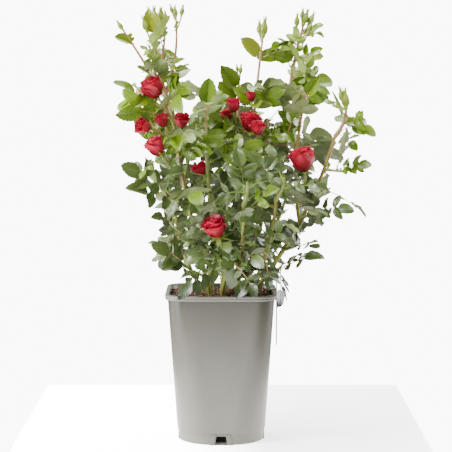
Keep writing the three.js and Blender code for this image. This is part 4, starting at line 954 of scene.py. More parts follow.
def axis_of(tree, place, axis):
    """One coordinate of a place, in metres."""
    return node(tree, "ShaderNodeSeparateXYZ", {"Vector": place}).outputs[axis]


def blade_uv(tree):
    return node(tree, "ShaderNodeUVMap", uv_map="blade").outputs["UV"]


def mottled(tree, scale, dark, light, contrast=1.0, place=None):
    """Patches between two colours, over the object's own coordinates or another place."""
    return place_group(tree, MOTTLE, {
        "Vector": object_place(tree) if place is None else place,
        "Scale": scale, "Dark": dark, "Light": light, "Contrast": contrast})


def dress(tree, shader, base, height, strength, distance):
    """Gives a shader its base colour, and a relief from a height."""
    tree.links.new(base, shader.inputs["Base Color"])
    bump = node(tree, "ShaderNodeBump", {"Height": height, "Strength": strength, "Distance": distance})
    tree.links.new(bump.outputs["Normal"], shader.inputs["Normal"])


def colour(red, green, blue):
    """A material's linear colour from a screen colour of 0 to 255."""
    def linear(c):
        c /= 255
        return c / 12.92 if c <= 0.04045 else ((c + 0.055) / 1.055) ** 2.4
    return (linear(red), linear(green), linear(blue), 1)


def shaded(tone, share):
    return (tone[0] * share, tone[1] * share, tone[2] * share, 1)


def new_group(name, inputs, outputs):
    group = bpy.data.node_groups.new(name, "ShaderNodeTree")
    for label, kind, value in inputs:
        socket = group.interface.new_socket(label, in_out="INPUT", socket_type=kind)
        if value is not None:
            socket.default_value = value
    for label, kind in outputs:
        group.interface.new_socket(label, in_out="OUTPUT", socket_type=kind)
    return group, group.nodes.new("NodeGroupInput").outputs, group.nodes.new("NodeGroupOutput").inputs


def mottle_group():
    """Soft uneven patches between two colours, and a height for their relief."""
    group, given, out = new_group("mottle", [
        ("Vector", "NodeSocketVector", None), ("Scale", "NodeSocketFloat", 60.0),
        ("Dark", "NodeSocketColor", (0, 0, 0, 1)), ("Light", "NodeSocketColor", (1, 1, 1, 1)),
        ("Contrast", "NodeSocketFloat", 1.0),
    ], [("Color", "NodeSocketColor"), ("Height", "NodeSocketFloat")])
    noise = node(group, "ShaderNodeTexNoise", {
        "Vector": given["Vector"], "Scale": given["Scale"], "Detail": 4.0, "Roughness": 0.6}).outputs["Fac"]
    scaled = maths(group, "MULTIPLY", maths(group, "SUBTRACT", noise, 0.5), given["Contrast"])
    share = maths(group, "ADD", scaled, 0.5, clamp=True)
    group.links.new(blend_colours(group, share, given["Dark"], given["Light"]), out["Color"])
    group.links.new(noise, out["Height"])
    return group


def vein_group():
    """A leaflet's midrib and side veins from its UV map: across is 0 to 1 and along is 0 to 1."""
    group, given, out = new_group(
        "leaf_veins", [("UV", "NodeSocketVector", None)], [("Veins", "NodeSocketFloat")])
    parts = node(group, "ShaderNodeSeparateXYZ", {"Vector": given["UV"]}).outputs
    aside = maths(group, "ABSOLUTE", maths(group, "SUBTRACT", parts["X"], 0.5))
    slant = maths(group, "SUBTRACT", parts["Y"], maths(group, "MULTIPLY", aside, 0.55))
    phase = maths(group, "FRACT", maths(group, "MULTIPLY", slant, 8.0))
    from_vein = maths(group, "ABSOLUTE", maths(group, "SUBTRACT", phase, 0.5))
    side_veins = maths(group, "SUBTRACT", 1.0, maths(group, "MULTIPLY", from_vein, 7.0), clamp=True)
    midrib = maths(group, "SUBTRACT", 1.0, maths(group, "MULTIPLY", aside, 22.0), clamp=True)
    both = maths(group, "MAXIMUM", midrib, maths(group, "MULTIPLY", side_veins, 0.45))
    group.links.new(both, out["Veins"])
    return group


def leaf_material(name, tone, vein_tone, roughness, relief):
    """A leaf's upper side or underside, with its veins, and painted shade that darkens leaves just over the
    rim, under the crown.
    """
    made, tree, shader = new_material(name, roughness)
    veins = place_group(tree, VEINS, {"UV": blade_uv(tree)}).outputs["Veins"]
    patches = mottled(tree, 45.0, shaded(tone, 0.72), shaded(tone, 1.3), 1.1)
    blade = blend_colours(tree, maths(tree, "MULTIPLY", veins, 0.55), patches.outputs["Color"], vein_tone)
    # Painted shade: darkest and bluest at the rim, fading out a band above it
    above_rim = maths(tree, "SUBTRACT", axis_of(tree, object_place(tree), "Z"), POT_HEIGHT * MM)
    clear_of_rim_shade = maths(tree, "DIVIDE", above_rim, RIM_SHADE_BAND * MM, clamp=True)
    leaf_rim_shade = blend_colours(tree, clear_of_rim_shade, RIM_SHADE_SHARE, (1, 1, 1, 1))
    rough = maths(tree, "ADD", maths(tree, "MULTIPLY", patches.outputs["Height"], 0.1), roughness - 0.05)
    tree.links.new(rough, shader.inputs["Roughness"])
    base = blend_colours(tree, 1.0, blade, leaf_rim_shade, "MULTIPLY")
    dress(tree, shader, base, maths(tree, "MULTIPLY", veins, relief), 0.35, 0.0006)
    return made


def petal_material(name, tone, rim_tone_with_highlight, roughness, sheen):
    """A petal with a velvety sheen, darkened at its foot by painted shade between the petals and paler at its
    rim by a painted highlight.
    """
    made, tree, shader = new_material(name, roughness)
    shader.inputs["Sheen Weight"].default_value = sheen
    shader.inputs["Sheen Roughness"].default_value = 0.45
    shader.inputs["Sheen Tint"].default_value = (1.0, 0.35, 0.4, 1)
    shader.inputs["Specular IOR Level"].default_value = 0.35
    uv = blade_uv(tree)
    along = axis_of(tree, uv, "Y")
    patches = mottled(tree, 110.0, shaded(tone, 0.7), shaded(tone, 1.3), 1.3)
    streak = node(tree, "ShaderNodeTexWave", {"Vector": uv, "Scale": 7.0, "Distortion": 2.0, "Detail": 1.0})
    # Painted shade: the petal darkens toward its foot, deep in the bloom
    rise = maths(tree, "POWER", along, 0.7, clamp=True)
    deep = blend_colours(tree, rise, shaded(tone, 0.25), patches.outputs["Color"])
    # Painted highlight: the rim turns paler, as where light catches it
    rim = maths(tree, "POWER", along, 5.0, clamp=True)
    rim_highlighted = blend_colours(tree, maths(tree, "MULTIPLY", rim, 0.65), deep, rim_tone_with_highlight)
    dress(tree, shader, rim_highlighted, streak.outputs["Fac"], 0.15, 0.0004)
    return made


def stem_material(name, low_tone, high_tone, low, high, roughness=0.5):
    """Bark that turns from one colour to another with height, in metres, with streaks and specks along it."""
    made, tree, shader = new_material(name, roughness)
    place = object_place(tree)
    drift = node(tree, "ShaderNodeTexNoise", {"Vector": place, "Scale": 14.0, "Detail": 2.0})
    uneven = maths(tree, "MULTIPLY", maths(tree, "SUBTRACT", drift.outputs["Fac"], 0.5), 0.35)
    height = maths(tree, "ADD", axis_of(tree, place, "Z"), uneven)
    share = maths(tree, "DIVIDE", maths(tree, "SUBTRACT", height, low), high - low, clamp=True)
    tone = blend_colours(tree, share, low_tone, high_tone)
    stretched = node(tree, "ShaderNodeMapping", {"Vector": place, "Scale": (9.0, 9.0, 1.0)}).outputs["Vector"]
    streaks = mottled(tree, 38.0, (0.5, 0.5, 0.5, 1), (1.25, 1.25, 1.25, 1), 1.5, stretched)
    base = blend_colours(tree, 1.0, tone, streaks.outputs["Color"], "MULTIPLY")
    dress(tree, shader, base, streaks.outputs["Height"], 0.5, 0.0007)
    return made


def patchy_material(name, dark, light, roughness, scale, relief, contrast, depth=0.0008):
    """Patches between two tones, with a fine relief."""
    made, tree, shader = new_material(name, roughness)
    patches = mottled(tree, scale, dark, light, contrast).outputs
    dress(tree, shader, patches["Color"], patches["Height"], relief, depth)
    return made


def plain_material(name, tone, roughness, scale, relief, contrast=1.2):
    """One uneven natural tone."""
    return patchy_material(name, shaded(tone, 0.6), shaded(tone, 1.4), roughness, scale, relief, contrast)


def pot_material():
    """Warm grey moulded plastic with flow marks and a few dark specks, and painted shade that darkens and
    warms it toward the rim, where the crown hangs over it.
    """
    made, tree, shader = new_material("moulded_plastic", 0.42)
    place = object_place(tree)
    patches = mottled(tree, 16.0, shaded(POT_TONE, 0.94), shaded(POT_TONE, 1.06), 1.4, place)
    height = axis_of(tree, place, "Z")
    # Painted shade from the crown above: the tone darkens and warms from the foot up to the foot of the rim
    # band
    rise = maths(tree, "POWER", maths(tree, "DIVIDE", height, POT_HEIGHT * MM, clamp=True), 1.3)
    under_rim = maths(tree, "LESS_THAN", height, BAND_FOOT * MM)
    pot_rim_shade = blend_colours(tree, maths(tree, "MULTIPLY", rise, under_rim), (1, 1, 1, 1), POT_RIM_SHADE)
    plastic = blend_colours(tree, 1.0, patches.outputs["Color"], pot_rim_shade, "MULTIPLY")
    flow = node(tree, "ShaderNodeMapping", {"Vector": place, "Scale": (1.0, 1.0, 0.12)}).outputs["Vector"]
    marks = node(tree, "ShaderNodeTexNoise", {"Vector": flow, "Scale": 70.0, "Detail": 3.0}).outputs["Fac"]
    cells = node(tree, "ShaderNodeTexVoronoi", {"Vector": place, "Scale": 34.0})
    speck = maths(tree, "LESS_THAN", cells.outputs["Distance"], 0.035)
    marked = blend_colours(tree, maths(tree, "MULTIPLY", speck, 0.55), plastic, colour(80, 72, 62))
    rough = maths(tree, "ADD", maths(tree, "MULTIPLY", marks, 0.16), 0.26)
    tree.links.new(rough, shader.inputs["Roughness"])
    grain = node(tree, "ShaderNodeTexNoise", {"Vector": place, "Scale": 900.0, "Detail": 2.0})
    both = maths(tree, "ADD", maths(tree, "MULTIPLY", grain.outputs["Fac"], 0.3), marks)
    dress(tree, shader, marked, both, 0.12, 0.0006)
    return made


def card_material():
    return patchy_material(
        "blank_card", colour(226, 226, 222), colour(244, 244, 241), 0.4, 30.0, 0.1, 1.0, depth=0.0005)


# The pot, its compost and its label


def square_reach(angle, half, corner):
    """Distance from the middle of a rounded square to its outline, at an angle."""
    c, s = abs(math.cos(angle)), abs(math.sin(angle))
    straight = half - corner
    if min(c, s) * half <= straight * max(c, s):
        return half / max(c, s)
    return straight * (c + s) + math.sqrt(max(0, corner ** 2 - (straight * (c - s)) ** 2))


def corner_at(z):
    return mix(FOOT_CORNER, TOP_CORNER, min(1, max(0, z / POT_HEIGHT)))


def body_half_at(z):
    return mix(BODY_FOOT_HALF, BODY_TOP_HALF, (z - FOOT_HEIGHT) / (BAND_FOOT - FOOT_HEIGHT))


def inside_half_at(z):
    share = (z - FLOOR - 2) / (POT_HEIGHT - FLOOR - 2)
    return mix(FOOT_HALF - WALL, body_half_at(BAND_FOOT) - WALL, share)


def lay_ring(vertices, half, z):
    """Puts a ring of corners on the rounded square of a height."""
    for vertex in vertices:
        angle = math.atan2(vertex.co.y, vertex.co.x)
        reach = square_reach(angle, half, min(half, corner_at(z)))
        vertex.co = Vector((reach * math.cos(angle), reach * math.sin(angle), z)) * MM


def square_turned(name, profile):
    """A closed shape whose rings are rounded squares, extruded one from another."""
    bpy.ops.mesh.primitive_circle_add(vertices=RING_SIDES, radius=1, fill_type="NGON")
    piece = chosen(name)
    edit(piece)
    for i, (half, z) in enumerate(profile):
        if i:
            bpy.ops.mesh.extrude_region_move()
        made = bmesh.from_edit_mesh(piece.data)
        lay_ring([v for v in made.verts if v.select], half, z)
        bmesh.update_edit_mesh(piece.data)
    close_edit()
    return piece


def rim_profile():
    """The rolled rim: a lip, a fine groove under it and a second bead."""
    band = BAND_FOOT
    return [
        (RIM_HALF - 1.6, band), (RIM_HALF - 0.7, band + 0.4), (RIM_HALF - 0.4, band + 1.2),
        (RIM_HALF - 0.4, band + 3.0), (RIM_HALF - 0.9, band + 3.6), (RIM_HALF - 0.9, band + 4.2),
        (RIM_HALF - 0.2, band + 4.8), (RIM_HALF, band + 5.6), (RIM_HALF, band + 6.8),
        (RIM_HALF - 0.5, POT_HEIGHT - 0.5), (RIM_HALF - 1.6, POT_HEIGHT),
    ]


def trapezoid_block(name, sizes, near, far, below=0):
    """A block with a trapezoid's outline that stands through the pot's front wall."""
    bpy.ops.mesh.primitive_cube_add(size=1)
    piece = chosen(name)
    slope = (sizes["bottom"] - sizes["top"]) / (2 * sizes["height"])
    for vertex in piece.data.vertices:
        z = sizes["height"] if vertex.co.z > 0 else -below
        half = sizes["bottom"] / 2 - slope * z
        vertex.co = Vector((math.copysign(half, vertex.co.x), -(far if vertex.co.y < 0 else near), z)) * MM
    return piece


def cut_notch(pot, plastic, turn):
    """Raises a frame on one side's foot, sinks a recess in it and cuts a hole through the wall."""
    face = FOOT_HALF + NOTCH_FRAME["proud"]
    raised = trapezoid_block("notch_frame", NOTCH_FRAME, FOOT_HALF - WALL / 2, face)
    apply_modifier(raised, "BEVEL", width=0.5 * MM, segments=2)
    recess = trapezoid_block("notch_recess", NOTCH_RECESS, face - NOTCH_RECESS["deep"], face + 1, 1)
    hole = trapezoid_block("notch_hole", NOTCH_HOLE, FOOT_HALF - 6, face + 1, -NOTCH_HOLE["sill"])
    for block, way in ((raised, "UNION"), (recess, "DIFFERENCE"), (hole, "DIFFERENCE")):
        block.data.materials.append(plastic)
        block.rotation_euler = (0, 0, turn)
        settle_piece(block)
        apply_modifier(pot, "BOOLEAN", operation=way, object=block, solver="MANIFOLD")
        bpy.data.objects.remove(block)


def make_pot():
    """The pot, with a notch in the foot of each side."""
    outside = [
        (FOOT_HALF - 7, 1.5), (FOOT_HALF - 6, 0), (FOOT_HALF - 1.8, 0), (FOOT_HALF - 0.6, 0.6),
        (FOOT_HALF, 1.8), (FOOT_HALF + 0.3, FOOT_HEIGHT - 1.2), (FOOT_HALF + 0.7, FOOT_HEIGHT - 0.4),
        (body_half_at(FOOT_HEIGHT) - 0.3, FOOT_HEIGHT), (body_half_at(FOOT_HEIGHT), FOOT_HEIGHT + 0.6),
    ]
    outside += [(body_half_at(z), z) for z in range(40, BAND_FOOT - 5, 22)]
    outside += [(body_half_at(BAND_FOOT - 0.5), BAND_FOOT - 0.5)]
    inside = [(inside_half_at(POT_HEIGHT) + 0.4, POT_HEIGHT)]
    inside += [(inside_half_at(z), z) for z in (POT_HEIGHT - 1, SOIL_SHOULDER, 120, FLOOR + 2)]
    inside += [(inside_half_at(FLOOR) - 2, FLOOR)]
    pot = square_turned("pot_shell", outside + rim_profile() + inside)
    plastic = pot_material()
    pot.data.materials.append(plastic)
    for side in range(4):
        cut_notch(pot, plastic, side * math.pi / 2)
    smooth(pot, 28)
    hand_in(pot, ["pot"])


def crumble(x, y):
    """The height of the compost's rough top over its mean."""
    coarse = math.sin(0.21 * x + 1.3) * math.cos(0.17 * y - 0.6) + 0.5 * math.sin(0.4 * (x + y))
    fine = math.sin(0.9 * x + 2 * math.sin(0.7 * y)) * math.cos(1.1 * y + math.sin(0.8 * x))
    return 0.9 * coarse + 0.6 * fine


def make_soil(chance):
    """Compost: a block inside the pot whose top is crumbled."""
    shoulder = inside_half_at(SOIL_SHOULDER)
    rings = [(i / SOIL_RINGS) ** 0.9 for i in range(SOIL_RINGS + 1)]
    profile = [(inside_half_at(SOIL_FOOT) - 1, SOIL_FOOT), (shoulder - 0.5, SOIL_SHOULDER)]
    soil = square_turned("compost", profile + [(mix(shoulder - 1, 2, share), SOIL_TOP) for share in rings])
    for vertex in soil.data.vertices:
        x, y, z = vertex.co / MM
        if z > SOIL_TOP - 0.5:
            vertex.co.z += (crumble(x, y) + chance.about(0, 0.5)) * MM
    soil.data.materials.append(plain_material("moist_compost", colour(62, 42, 32), 0.95, 160.0, 1.0, 2.4))
    smooth(soil, 60)
    hand_in(soil, ["soil"])


def crumb_form():
    """A small angular lump."""
    bpy.ops.mesh.primitive_ico_sphere_add(subdivisions=1, radius=1)
    lump = chosen("crumb")
    for i, vertex in enumerate(lump.data.vertices):
        vertex.co *= 1 + 0.25 * math.sin(5.1 * i)
    return take_form(lump)


def spot_on_soil(chance, margin=3):
    """A chance spot on the compost, no nearer to the wall than a margin."""
    half = inside_half_at(SOIL_SHOULDER) - margin
    while True:
        x, y = chance.about(0, half), chance.about(0, half)
        if math.hypot(x, y) < square_reach(math.atan2(y, x), half, TOP_CORNER):
            return x, y


# The litter's materials, in their order on the piece
CRUMB, CHIP, FINE_ROOT = range(3)


def add_crumb(litter, form, chance):
    """A crumb of compost, or a flat chip of bark."""
    places, faces = form
    x, y = spot_on_soil(chance)
    size = abs(chance.about(0, 1)) ** 3 * 2.6 + 0.7
    chip = chance.draw() < CHIP_SHARE
    turn = Matrix.Rotation(chance.draw() * ANY_TURN, 3, "Z") @ Matrix.Rotation(chance.about(0, 0.5), 3, "X")
    sizes = np.array([size * (1.9 if chip else 1.1), size, size * (0.35 if chip else 0.8)])
    placed = (places * sizes) @ np.array(turn.transposed())
    placed += (x, y, SOIL_TOP + crumble(x, y) + 0.2 * size)
    litter.add_form(placed, faces, CHIP if chip else CRUMB)


def add_fine_root(litter, chance):
    """A thin root that wanders over the compost, left out where it would reach the wall."""
    x, y = spot_on_soil(chance, 8)
    heading, line = chance.draw() * ANY_TURN, []
    for k in range(6):
        line.append((x, y, SOIL_TOP + crumble(x, y) + 1.0 + 2.2 * math.sin(0.6 * k) * chance.draw()))
        heading += chance.about(0, 0.9)
        x, y = x + 3.2 * math.cos(heading), y + 3.2 * math.sin(heading)
    if max(abs(x), abs(y)) < inside_half_at(SOIL_SHOULDER) - 3:
        litter.add(*tube(line, [FINE_ROOT_RADIUS] * len(line), SIDES["root"]), FINE_ROOT)


def make_litter(chance):
    """Crumbs, bark chips and fine pale roots on the compost."""
    litter = Growth("bark_litter")
    form = crumb_form()
    for _ in range(CRUMBS):
        add_crumb(litter, form, chance)
    for _ in range(FINE_ROOTS):
        add_fine_root(litter, chance)
    hand_in(litter.piece([
        plain_material("dark_crumbs", colour(64, 44, 34), 0.9, 300.0, 0.5, 2.0),
        plain_material("reddish_bark", colour(126, 72, 46), 0.8, 260.0, 0.5, 2.0),
        plain_material("pale_roots", colour(176, 140, 104), 0.7, 300.0, 0.3, 1.0),
    ]))


def make_card():
    """The label's card: thin, round at its corners and a little curled."""
    bpy.ops.mesh.primitive_plane_add(size=1)
    card = chosen("blank_label")
    edit(card)
    bpy.ops.mesh.subdivide(number_cuts=11)
    leave_edit()
    height, middle, corner = LABEL["high"] - LABEL["low"], (LABEL["low"] + LABEL["high"]) / 2, LABEL["corner"]
    for vertex in card.data.vertices:
        across, up = vertex.co.x * LABEL["width"], vertex.co.y * height
        over = abs(up) - (height / 2 - corner)
        if over > 0:
            reach = LABEL["width"] / 2 - corner + math.sqrt(max(0, corner ** 2 - over ** 2))
            across = math.copysign(min(abs(across), reach), across)
        curl = LABEL["curl"] * across ** 2
        vertex.co = Vector((RIM_HALF + 0.4 + curl * 0.4, LABEL["y"] + across, middle + up)) * MM
    apply_modifier(card, "SOLIDIFY", thickness=LABEL["thick"] * MM, offset=1)
    return card


def make_tongue():
    """The folded tongue that hangs the label on the rim."""
    bpy.ops.mesh.primitive_cube_add(size=1)
    tongue = chosen("label_tongue")
    for vertex in tongue.data.vertices:
        x = RIM_HALF + 0.8 - (LABEL["tongue"] if vertex.co.x < 0 else 0)
        z = POT_HEIGHT + 0.35 + (LABEL["thick"] if vertex.co.z > 0 else 0)
        vertex.co = Vector((x, LABEL["y"] + vertex.co.y * LABEL["tongue_width"], z)) * MM
    apply_modifier(tongue, "BEVEL", width=0.2 * MM, segments=2)
    return tongue


def make_label():
    """A blank card that hangs on the rim."""
    card = make_card()
    join([card, make_tongue()])
    card.data.materials.append(card_material())
    smooth(card, 40)
    hand_in(card, ["label"])


# Canes


def cane_curve(stem):
    """A cane as a bevelled curve on its stem's line."""
    bpy.ops.curve.primitive_bezier_curve_add()
    cane = chosen(stem.name + "_bark")
    curve = cane.data
    curve.dimensions, curve.resolution_u = "3D", max(20, int(stem.length / 3))
    curve.bevel_depth, curve.bevel_resolution, curve.use_fill_caps = MM, 4, True
    first, last = curve.splines[0].bezier_points
    for point, spot, share in ((first, stem.foot, 0), (last, stem.tip, 1)):
        point.handle_left_type = point.handle_right_type = "FREE"
        point.co = spot * MM
        pull = (stem.control - spot) * (2 / 3)
        inward, outward = (spot + pull) * MM, (spot - pull) * MM
        point.handle_left, point.handle_right = (inward, outward) if share else (outward, inward)
        point.radius = CANE_SLIM * stem.radius(share)
    return cane


def cane_mesh(stem):
    """One cane, with a ring of swelling at each node and rough bark."""
    activate(cane_curve(stem))
    bpy.ops.object.convert(target="MESH")
    cane = bpy.context.object
    nodes_at = [leaf.root for leaf in stem.leaves + stem.fine]
    for vertex in cane.data.vertices:
        spot = vertex.co / MM
        near = min(((spot - root).length for root in nodes_at), default=99)
        relief = 0.22 * math.sin(spot.z * 0.9 + 3 * math.sin(0.8 * spot.x)) * math.cos(spot.y * 1.1)
        swell = 0.9 * math.exp(-(near / 5) ** 2)
        vertex.co += vertex.normal * (relief + swell) * MM
    return cane


def make_canes(stems):
    """All the canes as one piece of bark, which stands for their solids."""
    join([cane_mesh(stems[row["name"]]) for row in CANES])
    bark = chosen("canes")
    bark.data.materials.append(stem_material(
        "cane_bark", colour(134, 134, 50), colour(136, 104, 46), 0.36, 0.6))
    edit(bark)
    bpy.ops.mesh.remove_doubles(threshold=0.00001)
    close_edit()
    settle_piece(bark)
    smooth(bark, 60)
    hand_in(bark, [row["name"] for row in CANES])


def make_short_stem():
    """The knobbly short stem that the canes rise round."""
    bpy.ops.mesh.primitive_uv_sphere_add(segments=28, ring_count=18, radius=1)
    stump = chosen("short_stem_bark")
    for vertex in stump.data.vertices:
        x, y, z = vertex.co
        knob = 1 + 0.08 * math.sin(5 * math.atan2(y, x) + 3 * z) + 0.05 * math.sin(9 * x + 7 * z)
        rise = (z * 0.5 + 0.5) * (STUMP["height"] + 3) * (1 + 0.1 * math.sin(4 * x))
        vertex.co = Vector((
            STUMP["x"] + x * knob * STUMP["across"] * 0.5, STUMP["y"] + y * knob * STUMP["deep"] * 0.5,
            SOIL_TOP - 4 + rise)) * MM
    stump.data.materials.append(stem_material(
        "old_bark", colour(104, 84, 58), colour(126, 104, 70), 0.24, 0.26, 0.8))
    smooth(stump, 60)
    hand_in(stump, ["short_stem"])


# Shoots, leaf stalks and prickles

# The shoots' materials, in their order on the piece
SKIN, GREEN_STALK, REDDISH_STALK = range(3)


def add_shoot(growth, stem, parent):
    """A shoot, flared at its foot to meet what it grows from."""
    count = max(4, int(stem.length / 5))
    shares = [i / count for i in range(count + 1)]
    flare, fade = 0.6 * stem.radius(0), 3
    if stem.row["at"] == 1:
        flare, fade = parent.radius(1) * CANE_SLIM - stem.radius(0), 9
    radii = [STOUT * stem.radius(share) + flare * math.exp(-share * stem.length / fade) for share in shares]
    growth.add(*tube([stem.at(share) for share in shares], radii, SIDES["shoot"]), SKIN)


def add_stalk(growth, leaf, slim, slot):
    """A leaf's stalk, thick at its foot, up to its end leaflet."""
    shares = [leaf.stalk_end * i / 6 for i in range(7)]
    radii = [mix(1.1, 0.55, i / 6) * slim for i in range(7)]
    radii[0] *= 1.5
    growth.add(*tube([leaf.point(share) for share in shares], radii, SIDES["stalk"]), slot)


def prickle_form():
    """A flattened hooked thorn on +Z, drawn up from a narrow oval foot."""
    bpy.ops.mesh.primitive_circle_add(vertices=6, radius=1, fill_type="NGON")
    thorn = chosen("prickle")
    for vertex in thorn.data.vertices:
        vertex.co.x *= 0.45
    edit(thorn)
    for rise, size, hook in ((0.9, 0.6, -0.12), (0.9, 0.45, -0.35), (0.9, 0.12, -0.55)):
        bpy.ops.mesh.extrude_region_move(TRANSFORM_OT_translate={"value": (0, hook, rise)})
        bpy.ops.transform.resize(value=(size, size, 1))
    close_edit()
    return take_form(thorn)


def frame_on(heading, out):
    """Three axes for a shape that stands out from a stem, hooked down along it."""
    out = (out - heading * out.dot(heading)).normalized()
    return np.array([heading.cross(out), heading, out])


def make_prickles(stems, chance):
    """Prickles on every stem, larger and closer together on the canes."""
    growth = Growth("prickles")
    places, faces = prickle_form()
    for stem in stems.values():
        step, sizes = CANE_PRICKLES if stem.radii[0] > CANE_FROM else SHOOT_PRICKLES
        for _ in range(int(stem.length / step)):
            share = mix(0.08, 0.92, chance.draw())
            heading = stem.heading(share)
            out = direction_of(heading, chance.draw() * ANY_TURN, math.pi / 2)
            size = chance.about(*sizes)
            root = stem.at(share) + out * (stem.radius(share) - 0.3)
            growth.add_form((places * size) @ frame_on(heading, out) + np.array(root), faces, 0)
    piece = growth.piece([plain_material("red_prickles", colour(150, 84, 58), 0.45, 200.0, 0.2)])
    hand_in(piece)


# Leaflets


def ovate(along):
    """Half the width of a rose leaflet along it, at most 1."""
    return np.minimum(1, 2.5 * np.power(along, 0.55) * np.power(np.clip(1 - along, 0, 1), 0.75))


def drawn_length(leaflet):
    """A leaflet's length: shorter in the lower crown, and limited by the pot's rim and at the crown's top."""
    height = leaflet.base.z
    length = leaflet.size * float(np.interp(height, FULL_LENGTH_BAND, (LOW_SHARE, 1)))
    if height < LOW_LEAVES_TO:
        return min(length, LONGEST_LOW)
    return min(length, LONGEST_LEAFLET if height < YOUNG_FROM else LONGEST_YOUNG)


def shape_leaflet(blade, leaflet, chance):
    """A leaflet's corners: folded along its midrib, arched, a little wavy and toothed at its edge."""
    x, along = blade.across, blade.along
    size = drawn_length(leaflet)
    half = leaflet.half * SLIM * size / leaflet.size
    tooth = np.where(np.abs(x) > 0.99, np.sign(np.sin(math.pi * (BLADE_ROWS * along + 0.5))), 0)
    tooth *= (along > 0.1) & (along < 0.97)
    outline = ovate(along)
    along = along + 0.01 * tooth
    width = outline * half + tooth * TOOTH * size * np.minimum(1, 4 * outline)
    fold, arch = chance.about(0.5, 0.4), chance.about(0.13, 0.15)
    wave, phase, twist = chance.about(0.035, 0.03), chance.draw() * ANY_TURN, chance.about(0, 0.3)
    lift = np.abs(x) * outline * fold * half
    lift -= half * 0.2 * np.abs(x) ** 2 * outline
    lift -= arch * along ** 2 * size
    lift += wave * size * np.sin(7 * along + phase + np.sign(x)) * np.abs(x) ** 1.5
    lift += twist * x * width * along
    lift += blade.below * (1 - np.abs(x)) * np.minimum(1, 6 * along * (1 - along)) * 0.3
    out = np.array(leaflet.base) + np.outer(along * size, leaflet.axis)
    return out + np.outer(x * width, leaflet.across) + np.outer(lift, leaflet.face)


def leaf_tone(leaf, mass, chance):
    """Which tone a leaf takes: young at the top, dark low down and on the oldest boughs."""
    height = (leaf.root.z - TONES_FROM) / TONES_OVER + chance.about(0, 0.24)
    height -= OLDER_BOUGHS.get(mass, 0)
    return next(tone for tone, (_, _, _, start) in LEAF_TONES.items() if height > start)


def paler(tone, share, lift):
    """A lighter tone for veins."""
    return tuple(min(1, c * share + lift) for c in tone[:3]) + (1,)


def make_leaves(stems, chance):
    """The leaflets, one piece for each tone. The middle tone's piece stands for the masses of foliage."""
    blade = Blade(BLADE_ROWS, 4)
    growths = {tone: Growth("leaves_" + tone) for tone in LEAF_TONES}
    for stem in stems.values():
        for leaf in stem.leaves + stem.fine:
            growth = growths[leaf_tone(leaf, stem.row.get("mass"), chance)]
            for leaflet in leaf.leaflets:
                growth.add_blade(blade, shape_leaflet(blade, leaflet, chance))
    masses = sorted({row["mass"] for row in SHOOTS})
    for tone, growth in growths.items():
        top, under, roughness, _ = LEAF_TONES[tone]
        piece = growth.piece([
            leaf_material("leaf_top_" + tone, top, paler(top, 1.5, 0.03), roughness, -1.0),
            leaf_material("leaf_underside_" + tone, under, paler(under, 1.25, 0.02), 0.6, 1.0),
        ])
        hand_in(piece, [mass for mass in masses if "bloom" not in mass] if tone == "mid" else ())


def add_stipules(growth, blade, leaf, chance):
    """The two narrow wings at a leaf's foot."""
    for side in (-1, 1):
        axis = (leaf.direction * 0.9 + leaf.side * side * 0.35 + UP * 0.05).normalized()
        wing = Leaflet(leaf, 0.01, side, axis, 0, min(13, 0.16 * leaf.length))
        wing.half = 1.1
        growth.add_blade(blade, shape_leaflet(blade, wing, chance), GREEN_STALK)


def make_stems(stems, chance):
    """The green and reddish shoots with every leaf's stalk."""
    growth = Growth("shoots")
    blade = Blade(4, 2)
    for row in SHOOTS:
        add_shoot(growth, stems[row["name"]], stems[row["on"]])
    for stem in stems.values():
        for leaf in stem.leaves + stem.fine:
            reddish = leaf.root.z > REDDISH_FROM or chance.draw() < REDDISH_SHARE
            slot = REDDISH_STALK if reddish else GREEN_STALK
            add_stalk(growth, leaf, min(1, 0.45 + leaf.length / 200), slot)
            if len(leaf.leaflets) > 1:
                add_stipules(growth, blade, leaf, chance)
    hand_in(growth.piece([
        stem_material("shoot_skin", colour(125, 136, 62), (0.48, 0.25, 0.12, 1), 0.44, 0.6, 0.45),
        plain_material("green_stalks", colour(112, 138, 56), 0.45, 90.0, 0.1),
        plain_material("reddish_stalks", colour(148, 110, 70), 0.45, 90.0, 0.1),
    ]))


# Blooms and buds

# The materials of the petals and of what holds them, in their order on each piece
PETAL_BACK = 1
URN, SEPAL, BUD_STALK = range(3)


def petal_line(rank, opening, half, length, along):
    """A petal's middle line from the bloom's axis out and up, by the slant of each step along it."""
    foot = mix(1.0, 1.55, rank)
    middle = mix(-0.28, mix(0.0, 0.42, opening), rank)
    rim = mix(0.1, mix(1.3, 2.3, opening), rank ** 0.8)
    steps = np.linspace(0, 1, 41)
    low = np.clip(steps / 0.62, 0, 1)
    high = np.clip((steps - 0.7) / 0.3, 0, 1)
    slant = foot + (middle - foot) * low ** 0.9 + (rim - middle) * high ** 2
    out = np.concatenate([[0], np.cumsum(np.sin(slant[:-1]))]) * length / 40
    up = np.concatenate([[0], np.cumsum(np.cos(slant[:-1]))]) * length / 40
    out *= half * mix(0.2, 1, rank ** 0.8) / out.max()
    return np.interp(along, steps, out), np.interp(along, steps, up)


